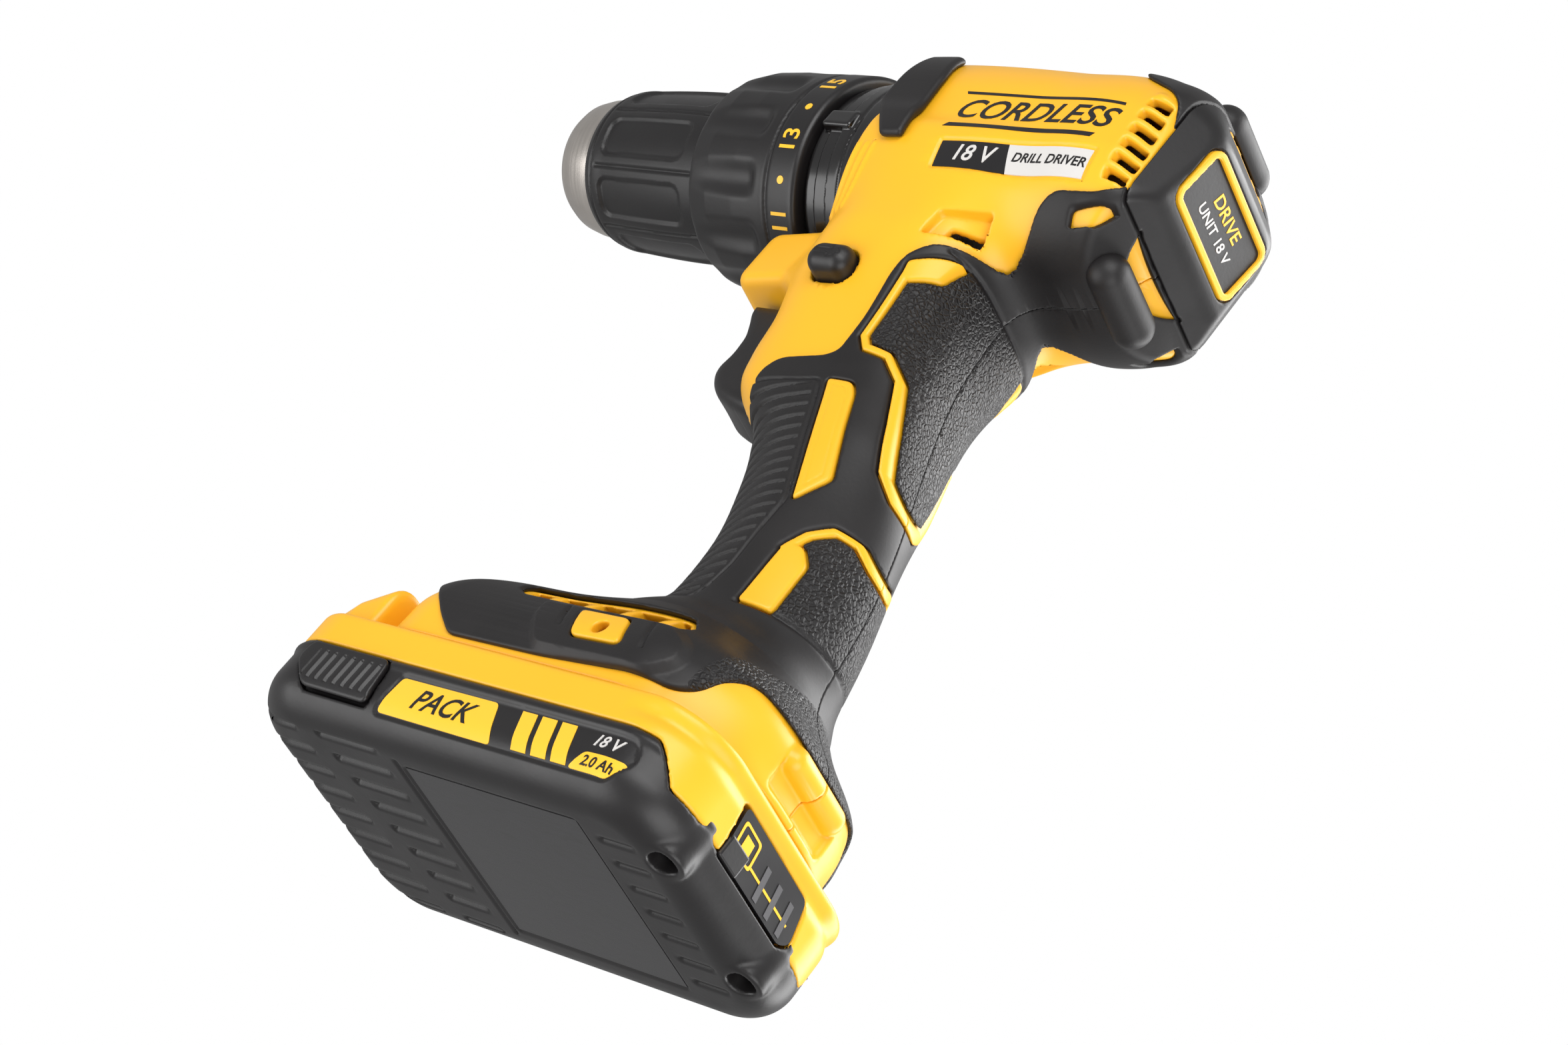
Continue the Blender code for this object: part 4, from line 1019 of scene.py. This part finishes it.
def metal(name, colour, rough=0.3, ring_scale=2600, along=(1, 0.02, 0.02), depth=0.00001):
    """Turned or ground metal: fine lines across one direction over a soft mottling."""
    made, tree, shader, place = start_material(name)
    stretch = tree.nodes.new("ShaderNodeMapping")
    stretch.inputs["Scale"].default_value = along
    tree.links.new(place.outputs["Object"], stretch.inputs["Vector"])
    lines = tree.nodes.new("ShaderNodeTexNoise")
    lines.inputs["Scale"].default_value = ring_scale
    lines.inputs["Detail"].default_value = 2.0
    tree.links.new(stretch.outputs[0], lines.inputs["Vector"])
    broad = noise(tree, place, 90, 4, 0.6)
    dark = tuple(c * 0.9 for c in colour)
    light = tuple(min(1, c * 1.08) for c in colour)
    tree.links.new(tint(tree, broad.outputs[0], dark, light), shader.inputs["Base Color"])
    shader.inputs["Metallic"].default_value = 1.0
    tree.links.new(spread(tree, lines.outputs[0], rough - 0.06, rough + 0.08), shader.inputs["Roughness"])
    tree.links.new(relief(tree, lines.outputs[0], depth, 0.5), shader.inputs["Normal"])
    return made


def streaked(name, colour, dark):
    """The dark clear label under the pack: faint crossing streaks in a glossy film."""
    made, tree, shader, place = start_material(name)
    stretch = tree.nodes.new("ShaderNodeMapping")
    stretch.inputs["Scale"].default_value = (1.0, 3.0, 1.0)
    stretch.inputs["Rotation"].default_value = (0, 0, 0.6)
    tree.links.new(place.outputs["Object"], stretch.inputs["Vector"])
    streaks = tree.nodes.new("ShaderNodeTexNoise")
    streaks.inputs["Scale"].default_value = 140
    streaks.inputs["Detail"].default_value = 6.0
    streaks.inputs["Distortion"].default_value = 1.2
    tree.links.new(stretch.outputs[0], streaks.inputs["Vector"])
    tree.links.new(tint(tree, streaks.outputs[0], dark, colour), shader.inputs["Base Color"])
    tree.links.new(spread(tree, streaks.outputs[0], 0.16, 0.34), shader.inputs["Roughness"])
    tree.links.new(relief(tree, streaks.outputs[0], 0.00003, 0.5), shader.inputs["Normal"])
    return made


def clear(name):
    made, tree, shader, place = start_material(name)
    haze = noise(tree, place, 300, 2)
    tree.links.new(tint(tree, haze.outputs[0], (0.82, 0.82, 0.78), (0.9, 0.9, 0.88)), shader.inputs["Base Color"])
    tree.links.new(spread(tree, haze.outputs[0], 0.06, 0.14), shader.inputs["Roughness"])
    shader.inputs["Transmission Weight"].default_value = 0.6
    return made


def make_materials():
    black = (0.0080, 0.0070, 0.0074)
    return {
        "yellow": plastic("yellow_satin", (0.92, 0.46, 0.014), 0.36, 0.03, 0.000012, 1800),
        "yellow_print": plastic("yellow_print", (0.95, 0.53, 0.03), 0.32, 0.02, 0.000006, 2500),
        "black": plastic("black_fine", black, 0.40, 0.25, 0.00003, 1200),
        "black_print": plastic("black_print", (0.008, 0.0072, 0.008), 0.35, 0.2, 0.000008, 2500),
        "gloss": plastic("black_glossy", (0.0060, 0.0054, 0.0057), 0.22, 0.2, 0.000005, 900, 0.3),
        "pale_print": plastic("pale_print", (0.62, 0.60, 0.58), 0.35, 0.04, 0.000006, 2500),
        "grey_print": plastic("grey_print", (0.075, 0.073, 0.078), 0.4, 0.08, 0.000006, 2500),
        "rubber": rubber("soft_black", (0.0085, 0.0074, 0.0077)),
        "nose": metal("turned_nose", (0.58, 0.54, 0.50), 0.33, 2200),
        "steel": metal("machined_steel", (0.50, 0.49, 0.47), 0.3, 2600),
        "black_steel": metal("blacked_steel", (0.06, 0.058, 0.056), 0.35, 2600),
        "sinter": metal("sintered_steel", (0.34, 0.33, 0.32), 0.45, 1500, (1, 1, 1), 0.00003),
        "copper": metal("wound_copper", (0.55, 0.26, 0.11), 0.38, 1800, (0.05, 1, 1), 0.00008),
        "board": plastic("solder_mask", (0.02, 0.18, 0.07), 0.3, 0.2, 0.00002, 1600),
        "cell": plastic("shrink_wrap", (0.05, 0.20, 0.45), 0.28, 0.08, 0.00001, 1200),
        "label": streaked("film_label", (0.020, 0.019, 0.021), (0.008, 0.0075, 0.008)),
        "lens": clear("lens_clear"),
    }


def dress(piece, made):
    piece.data.materials.clear()
    piece.data.materials.append(made)


def add_grain(piece, side):
    """Writes the grain attribute of the overmould from the side view regions."""
    mesh = piece.data
    co = np.empty(len(mesh.vertices) * 3, np.float32)
    mesh.vertices.foreach_get("co", co)
    co = co.reshape(-1, 3) / MM
    region = np.minimum(polygon(co[:, 0], co[:, 2], GRAIN_UPPER), polygon(co[:, 0], co[:, 2], GRAIN_LOWER))
    rear_foot = np.maximum(co[:, 0] + 44, co[:, 2] - 60)
    region = np.minimum(region, rear_foot)
    value = np.clip(0.5 - region / 0.8, 0, 1)
    mesh.attributes.new("grain", "FLOAT", "POINT").data.foreach_set("value", value.astype(np.float32))


# ---------------------------------------------------------------- camera

def camera_and_light():
    camera_data = bpy.data.cameras.new("camera")
    camera = bpy.data.objects.new("camera", camera_data)
    bpy.context.scene.collection.objects.link(camera)
    camera_data.lens = 72.435
    camera_data.sensor_width = 36
    right = Vector((-0.71916, -0.40246, 0.56642))
    up = Vector((0.14352, 0.71157, 0.68780))
    back = right.cross(up)
    rotation = Matrix((right, up, back)).transposed().to_4x4()
    camera.matrix_world = Matrix.Translation(Vector((-441.6, 373.5, -199.1)) * MM) @ rotation
    camera_data.clip_start = 0.01
    bpy.context.scene.camera = camera
    world = bpy.data.worlds.new("studio")
    world.use_nodes = True
    tree = world.node_tree
    seen = tree.nodes["Background"]
    seen.inputs[0].default_value = (1, 1, 1, 1)
    lit = tree.nodes.new("ShaderNodeBackground")
    lit.inputs[0].default_value = (1, 1, 1, 1)
    lit.inputs[1].default_value = 0.42
    path = tree.nodes.new("ShaderNodeLightPath")
    mix = tree.nodes.new("ShaderNodeMixShader")
    tree.links.new(path.outputs["Is Camera Ray"], mix.inputs[0])
    tree.links.new(lit.outputs[0], mix.inputs[1])
    tree.links.new(seen.outputs[0], mix.inputs[2])
    tree.links.new(mix.outputs[0], tree.nodes["World Output"].inputs[0])
    bpy.context.scene.world = world
    bpy.context.scene.view_settings.view_transform = "Standard"


# ---------------------------------------------------------------- putting it together

def place_piece(piece, body_name, slot_name, made, *nodes):
    dress(piece, made)
    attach(piece, body_name)
    if nodes:
        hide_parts(*nodes)
    return piece


def housing_pieces(paint):
    step = 0.5
    for side, way in (("left", 1), ("right", -1)):
        mirror = way < 0
        shell_form, skin_form = (right_shell_field, right_overmould_field) if mirror else (shell_field, overmould_field)
        shell = field_piece(f"shell_{side}", shell_form, (-59, -0.6, 22), (54, 37, 228), step, mirror)
        place_piece(shell, "housing", "yellow_plastic", paint["yellow"], f"housing_{side}")
        skin = field_piece(f"overmould_{side}", skin_form, (-60, -0.6, 24), (40, 38, 226), step * 0.9, mirror)
        add_grain(skin, way)
        place_piece(skin, "housing", "black_rubber", paint["rubber"], f"grip_{side}")
        lines = field_piece(f"accents_{side}", accent_field, (-44, -0.6, 28), (6, 38, 162), 0.35, mirror)
        place_piece(lines, "housing", "yellow_plastic", paint["yellow"])
        pad = field_piece(f"pad_{side}", pad_field, (13, 13, 179), (33, 34, 221), 0.35, mirror)
        place_piece(pad, "housing", "black_rubber", paint["rubber"], f"front_pad_{side}")
    cap = field_piece("cap", cap_field, (-54, -26, 166), (-43, 26, 224), 0.4)
    place_piece(cap, "housing", "black_plastic", paint["black"], "rear_cap")
    marks = field_piece("cap_accents", cap_yellow_field, (-54, -18, 168), (-43, 18, 222), 0.3)
    place_piece(marks, "housing", "yellow_plastic", paint["yellow"])
    bars = field_piece("cap_bumpers", bumper_field, (-46, -18, 165), (-32, 18, 225), 0.4)
    place_piece(bars, "housing", "black_rubber", paint["rubber"])


def drive_pieces(paint):
    case = field_piece("case_rings", case_field, (29.5, -27, 168), (49, 27, 222), 0.42)
    place_piece(case, "housing", "black_gloss_plastic", paint["gloss"], "gear_case")
    collar = field_piece("collar", collar_field, (48, -28, 167), (86.5, 28, 223), 0.45)
    place_piece(collar, "torque_collar", "black_plastic", paint["black"], "torque_collar")
    sleeve = field_piece("sleeve", sleeve_field, (79.5, -21, 174), (129, 21, 216), 0.42)
    place_piece(sleeve, "chuck_sleeve", "black_plastic", paint["black"], "chuck_sleeve")
    nose_ring = turned("nose", [
        (142, 10.4), (142, 12.4), (141.7, 13), (139.6, 15.0), (137.4, 16.3), (134, 17.1), (130.2, 17.5), (128.3, 17.5),
        (128, 17.2), (128, 10.4),
    ])
    place_piece(nose_ring, "chuck", "bright_steel", paint["nose"], "nose_ring")
    ring_numbers(paint)
    trigger = field_piece("trigger_lever", trigger_field, (17, -9, 114), (49, 9, 151), 0.3)
    place_piece(trigger, "trigger", "black_plastic", paint["black"], "trigger")
    button = field_piece("cross_button", button_field, (5, -28, 139), (24, 28, 155), 0.35)
    place_piece(button, "direction_selector", "black_plastic", paint["black"], "direction_selector")
    slider = field_piece("gear_slider", selector_field, (34, -8, 222), (54, 8, 228), 0.3)
    place_piece(slider, "speed_selector", "black_plastic", paint["black"], "speed_selector")


def ring_numbers(paint):
    """Odd numbers and dots round the collar's rear band, then a drill bit; their tops point to the chuck."""
    pitch = math.radians(20)
    start = math.radians(-44) - 12 * pitch
    for value in list(range(1, 16)) + [17]:
        angle = start + value * pitch
        if value == 17:
            work = flat_outline([(-3.6, -0.7), (2.2, -0.7), (3.6, 0), (2.2, 0.7), (-3.6, 0.7)])
            name = "collar_bit_mark"
        elif value % 2:
            work = flat_text(str(value), 6.6)
            name = f"collar_number_{value}"
        else:
            work = bmesh.new()
            bmesh.ops.create_circle(work, cap_ends=True, segments=24, radius=0.95)
            name = f"collar_dot_{value}"

        def place(u, v, height, angle=angle):
            turn = angle + u / 27.0
            r = 27.0 + height
            return np.stack([53.4 + v, r * np.cos(turn), AXIS_Z + r * np.sin(turn)], 1)

        slice_up(work, 1.2)
        mark = decal(name, work, place, 0.1)
        place_piece(mark, "torque_collar", "yellow_plastic", paint["yellow_print"])


def pack_pieces(paint):
    top = field_piece("pack_top", top_field, (-60.5, -36, 8), (60.5, 36, 40), 0.5)
    place_piece(top, "battery", "yellow_plastic", paint["yellow"], "battery_top")
    bottom = field_piece("pack_bottom", bottom_field, (-60.5, -36, -1), (60.5, 36, 17), 0.5)
    place_piece(bottom, "battery", "black_plastic", paint["black"], "battery_bottom")
    for side, way in (("left", 1), ("right", -1)):
        release = field_piece(f"release_{side}", release_field, (18, 33, 3), (47, 38, 17), 0.28, way < 0)
        place_piece(release, f"release_{side}", "black_plastic", paint["black"], f"release_button_{side}")
    film = flat_outline([(-36.9, -24), (10.9, -24), (10.9, 24), (-36.9, 24)])

    def under(u, v, height):
        return np.stack([u, -v, np.full(len(u), 0.35 - height)], 1)

    place_piece(decal("pack_film", film, under, 0.12), "battery", "black_plastic", paint["label"])
    panel = rounded([(13.2, 19.6), (-13.0, 19.2), (-16.3, 11.2), (-13.9, 9.2), (11.2, 9.2)], 1.4)
    work = flat_outline(panel)

    def behind(u, v, height):
        return np.stack([np.full(len(u), -58.2 - height), u, v], 1)

    gauge = decal("gauge_panel", work, behind, 0.9)
    place_piece(gauge, "battery", "black_plastic", paint["black_print"])


def side_marks(paint):
    """Generic marks: a word between two lines, a two-tone plate, the pack's rating strip."""
    def skin(x, y, z):
        return body(x, y, z)

    def pack_skin(x, y, z):
        return pack_form(x, y, z)

    def add(name, work, field, side, body_name, slot_name, made, sink=0.0, thick=0.1):
        if side < 0:
            for v in work.verts:
                v.co.x = v.co.x
        slice_up(work, 1.6)
        piece = decal(name, work, on_side(field, side, 45.0, sink), thick)
        place_piece(piece, body_name, slot_name, made)

    for side, label in ((1, "left"), (-1, "right")):
        flip = 1 if side > 0 else -1
        middle = -12.0

        def shaped(points, flip=flip):
            return flat_outline([(middle + (u - middle), v) for u, v in points])

        def words(text, size, centre, angle, shear=0.0, flip=flip):
            work = flat_text(text, size, shear)
            c, s = math.cos(angle), math.sin(angle)
            for v in work.verts:
                u, w = v.co.x * -flip, v.co.y
                v.co = (centre[0] + u * c - w * s, centre[1] + u * s + w * c, 0)
            return work

        add(f"line_high_{label}", shaped([(9.6, 199.6), (-33.0, 200.4), (-33.2, 199.6), (9.0, 198.8)]), skin, side,
            "housing", "black_plastic", paint["black_print"])
        add(f"line_low_{label}", shaped([(6.4, 188.2), (-31.6, 190.0), (-31.0, 188.7), (7.4, 186.9)]), skin, side,
            "housing", "black_plastic", paint["black_print"])
        add(f"word_{label}", words("CORDLESS", 8.6, (-12.2, 194.2), -0.03, 0.25), skin, side,
            "housing", "black_plastic", paint["black_print"])
        dark = [(4.9, 183.1), (-12.6, 184.3), (-14.6, 177.6), (4.0, 176.5)]
        pale = [(-12.6, 184.3), (-33.8, 185.8), (-33.6, 179.2), (-14.6, 177.6)]
        add(f"plate_dark_{label}", shaped(dark), skin, side, "housing", "black_plastic", paint["black_print"], 0.5, 0.14)
        add(f"plate_pale_{label}", shaped(pale), skin, side, "housing", "yellow_plastic", paint["pale_print"], 0.5, 0.14)
        add(f"plate_rating_{label}", words("18 V", 5.6, (-4.6, 180.5), -0.05, 0.15), skin, side,
            "housing", "yellow_plastic", paint["pale_print"], 0.5, 0.22)
        add(f"plate_word_{label}", words("DRILL DRIVER", 3.0, (-24.0, 181.9), -0.06, 0.2), skin, side,
            "housing", "black_plastic", paint["black_print"], 0.5, 0.22)
        strip = rounded([(16.8, 4.6), (15.8, 12.9), (-11.5, 13.1), (-15.8, 4.5)], 1.0)
        add(f"pack_strip_{label}", shaped(strip), pack_skin, side, "battery", "yellow_plastic", paint["yellow_print"], 0.5, 0.12)
        tail = rounded([(-37, 4.6), (-39.4, 8.3), (-48.8, 8.6), (-49.6, 8.2), (-46.6, 4.6)], 0.9)
        add(f"pack_tail_{label}", shaped(tail), pack_skin, side, "battery", "yellow_plastic", paint["yellow_print"], 0.5, 0.12)
        add(f"pack_word_{label}", words("PACK", 6.4, (1.0, 8.9), 0.0, 0.2), pack_skin, side,
            "battery", "black_plastic", paint["black_print"], 0.5, 0.2)
        bars = [(-18.5, 12.9), (-22.5, 12.9), (-25.6, 4.8), (-21.6, 4.8)]
        for i in range(3):
            moved = [(u - 5.4 * i, v) for u, v in bars]
            add(f"pack_bar_{label}_{i}", shaped(moved), pack_skin, side, "battery", "yellow_plastic",
                paint["yellow_print"], 0.5, 0.12)
        add(f"pack_volts_{label}", words("18 V", 3.6, (-42.6, 11.1), 0.0, 0.15), pack_skin, side,
            "battery", "yellow_plastic", paint["pale_print"], 0.5, 0.14)
        add(f"pack_charge_{label}", words("2.0 Ah", 2.9, (-43.5, 6.5), 0.0, 0.15), pack_skin, side,
            "battery", "black_plastic", paint["black_print"], 0.5, 0.2)


def rear_marks(paint):
    def on_cap(u, v, height):
        x = np.full(len(u), -60.0)
        for _ in range(60):
            x = x + np.clip(cap_form(x, u, v) + 0.45 - height, -0.5, 0.8)
        return np.stack([x, u, v], 1)

    for text, size, z, made in (("DRIVE", 4.6, 197.9, "yellow_print"), ("UNIT 18 V", 3.6, 193.2, "pale_print")):
        work = flat_text(text, size, 0.1)
        for v in work.verts:
            v.co = (v.co.x * -1, v.co.y + z, 0)
        slice_up(work, 2.0)
        piece = decal(f"cap_word_{text.split()[0]}", work, on_cap, 0.1)
        place_piece(piece, "housing", "yellow_plastic", paint[made])

    def on_gauge(u, v, height):
        return np.stack([np.full(len(u), -59.1 - height), u, v], 1)

    def ring_outline(points, width, name, made):
        outer = np.array(points)
        middle = outer.mean(0)
        inner = middle + (outer - middle) * (1 - width / np.abs(outer - middle).max())
        work = bmesh.new()
        a = [work.verts.new((p[0], p[1], 0)) for p in outer]
        b = [work.verts.new((p[0], p[1], 0)) for p in inner]
        for i in range(len(a)):
            j = (i + 1) % len(a)
            work.faces.new((a[i], a[j], b[j], b[i]))
        piece = decal(name, work, on_gauge, 0.08)
        place_piece(piece, "battery", "yellow_plastic", paint[made])

    icon = [(11.6, 17.9), (4.6, 17.6), (3.4, 12.0), (10.4, 12.2)]
    ring_outline(rounded(icon, 1.0), 0.7, "gauge_icon_rim", "yellow_print")
    flat = flat_outline([(9.2, 16.3), (6.2, 16.2), (5.7, 13.5), (8.8, 13.6)])
    piece = decal("gauge_icon", flat, on_gauge, 0.08)
    place_piece(piece, "battery", "yellow_plastic", paint["yellow_print"])
    flat = flat_outline([(3.6, 13.2), (-12.6, 12.9), (-12.6, 12.4), (3.5, 12.7)])
    place_piece(decal("gauge_line", flat, on_gauge, 0.08), "battery", "yellow_plastic", paint["yellow_print"])
    for i, y in enumerate((-1.5, -6.5, -11.5)):
        flat = flat_outline([(y + 1.9, 16.3), (y + 0.3, 16.3), (y - 1.3, 9.9), (y + 0.3, 9.9)])
        place_piece(decal(f"gauge_bar_{i}", flat, on_gauge, 0.12), "battery", "black_plastic", paint["grey_print"])


def dress_frame(paint):
    """Materials for the CAD nodes that are shown as they are."""
    kinds = {
        "steel": ["motor_can", "rotor_shaft", "motor_pinion", "spindle_bearing", "trigger_spring", "clutch_spring",
                  "clutch_nut", "chuck_body", "jaw_1", "jaw_2", "jaw_3", "output_spindle", "carrier_1"],
        "black_steel": ["housing_screw_1", "housing_screw_2", "housing_screw_3", "housing_screw_4",
                        "battery_screw_1", "battery_screw_2"],
        "sinter": ["ring_gear_1", "ring_gear_2", "planet_1a", "planet_1b", "planet_1c", "planet_2a", "planet_2b",
                   "planet_2c"],
        "copper": ["rotor_core"],
        "black": ["switch_module", "terminal_block", "contact_block", "motor_fan", "gauge_button"],
        "board": ["control_board"],
        "cell": ["cell_1", "cell_2", "cell_3", "cell_4", "cell_5"],
        "lens": ["led_lens"],
    }
    for kind, nodes in kinds.items():
        for node in nodes:
            dress(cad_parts[node], paint[kind])


def area_light(name, place, target, size, power, colour=(1, 1, 1)):
    data = bpy.data.lights.new(name, "AREA")
    data.shape = "RECTANGLE"
    data.size = size[0]
    data.size_y = size[1]
    data.energy = power
    data.color = colour
    lamp = bpy.data.objects.new(name, data)
    bpy.context.scene.collection.objects.link(lamp)
    lamp.location = place
    lamp.rotation_euler = (Vector(target) - Vector(place)).to_track_quat("-Z", "Y").to_euler()


def floor_material():
    """Pale floor, clear from below so that the low camera sees the white studio."""
    made, tree, shader, place = start_material("floor_pale")
    grain = noise(tree, place, 6, 2)
    tree.links.new(tint(tree, grain.outputs[0], (0.86, 0.86, 0.86), (0.89, 0.89, 0.89)), shader.inputs["Base Color"])
    shader.inputs["Roughness"].default_value = 0.7
    shader.inputs["Emission Color"].default_value = (1, 1, 1, 1)
    shader.inputs["Emission Strength"].default_value = 0.4
    side = tree.nodes.new("ShaderNodeNewGeometry")
    hidden = tree.nodes.new("ShaderNodeBsdfTransparent")
    mix = tree.nodes.new("ShaderNodeMixShader")
    out = next(node for node in tree.nodes if node.type == "OUTPUT_MATERIAL")
    tree.links.new(side.outputs["Backfacing"], mix.inputs[0])
    tree.links.new(shader.outputs[0], mix.inputs[1])
    tree.links.new(hidden.outputs[0], mix.inputs[2])
    tree.links.new(mix.outputs[0], out.inputs[0])
    return made


def studio():
    work = bmesh.new()
    bmesh.ops.create_grid(work, x_segments=1, y_segments=1, size=3.0)
    mesh = bpy.data.meshes.new("floor")
    work.to_mesh(mesh)
    work.free()
    floor = bpy.data.objects.new("floor", mesh)
    bpy.context.scene.collection.objects.link(floor)
    floor.location = (0, 0, -0.0002)
    dress(floor, floor_material())
    floor.visible_diffuse = False
    floor.visible_glossy = False
    floor.visible_transmission = False
    floor.visible_shadow = False
    target = (0.03, 0, 0.12)
    area_light("key_left", (-0.5, 0.9, 0.35), target, (0.9, 0.7), 9)
    area_light("low_front", (0.5, 0.6, -0.55), target, (0.8, 0.8), 6)
    area_light("under_rear", (-0.75, 0.05, -0.45), target, (0.7, 0.7), 5)
    area_light("rim_top", (-0.35, -0.55, 0.85), target, (1.0, 0.6), 12)
    area_light("rim_right", (-0.3, -0.9, 0.1), target, (0.5, 1.0), 9)


def main():
    paint = make_materials()
    housing_pieces(paint)
    drive_pieces(paint)
    pack_pieces(paint)
    side_marks(paint)
    rear_marks(paint)
    dress_frame(paint)
    studio()
    camera_and_light()


main()
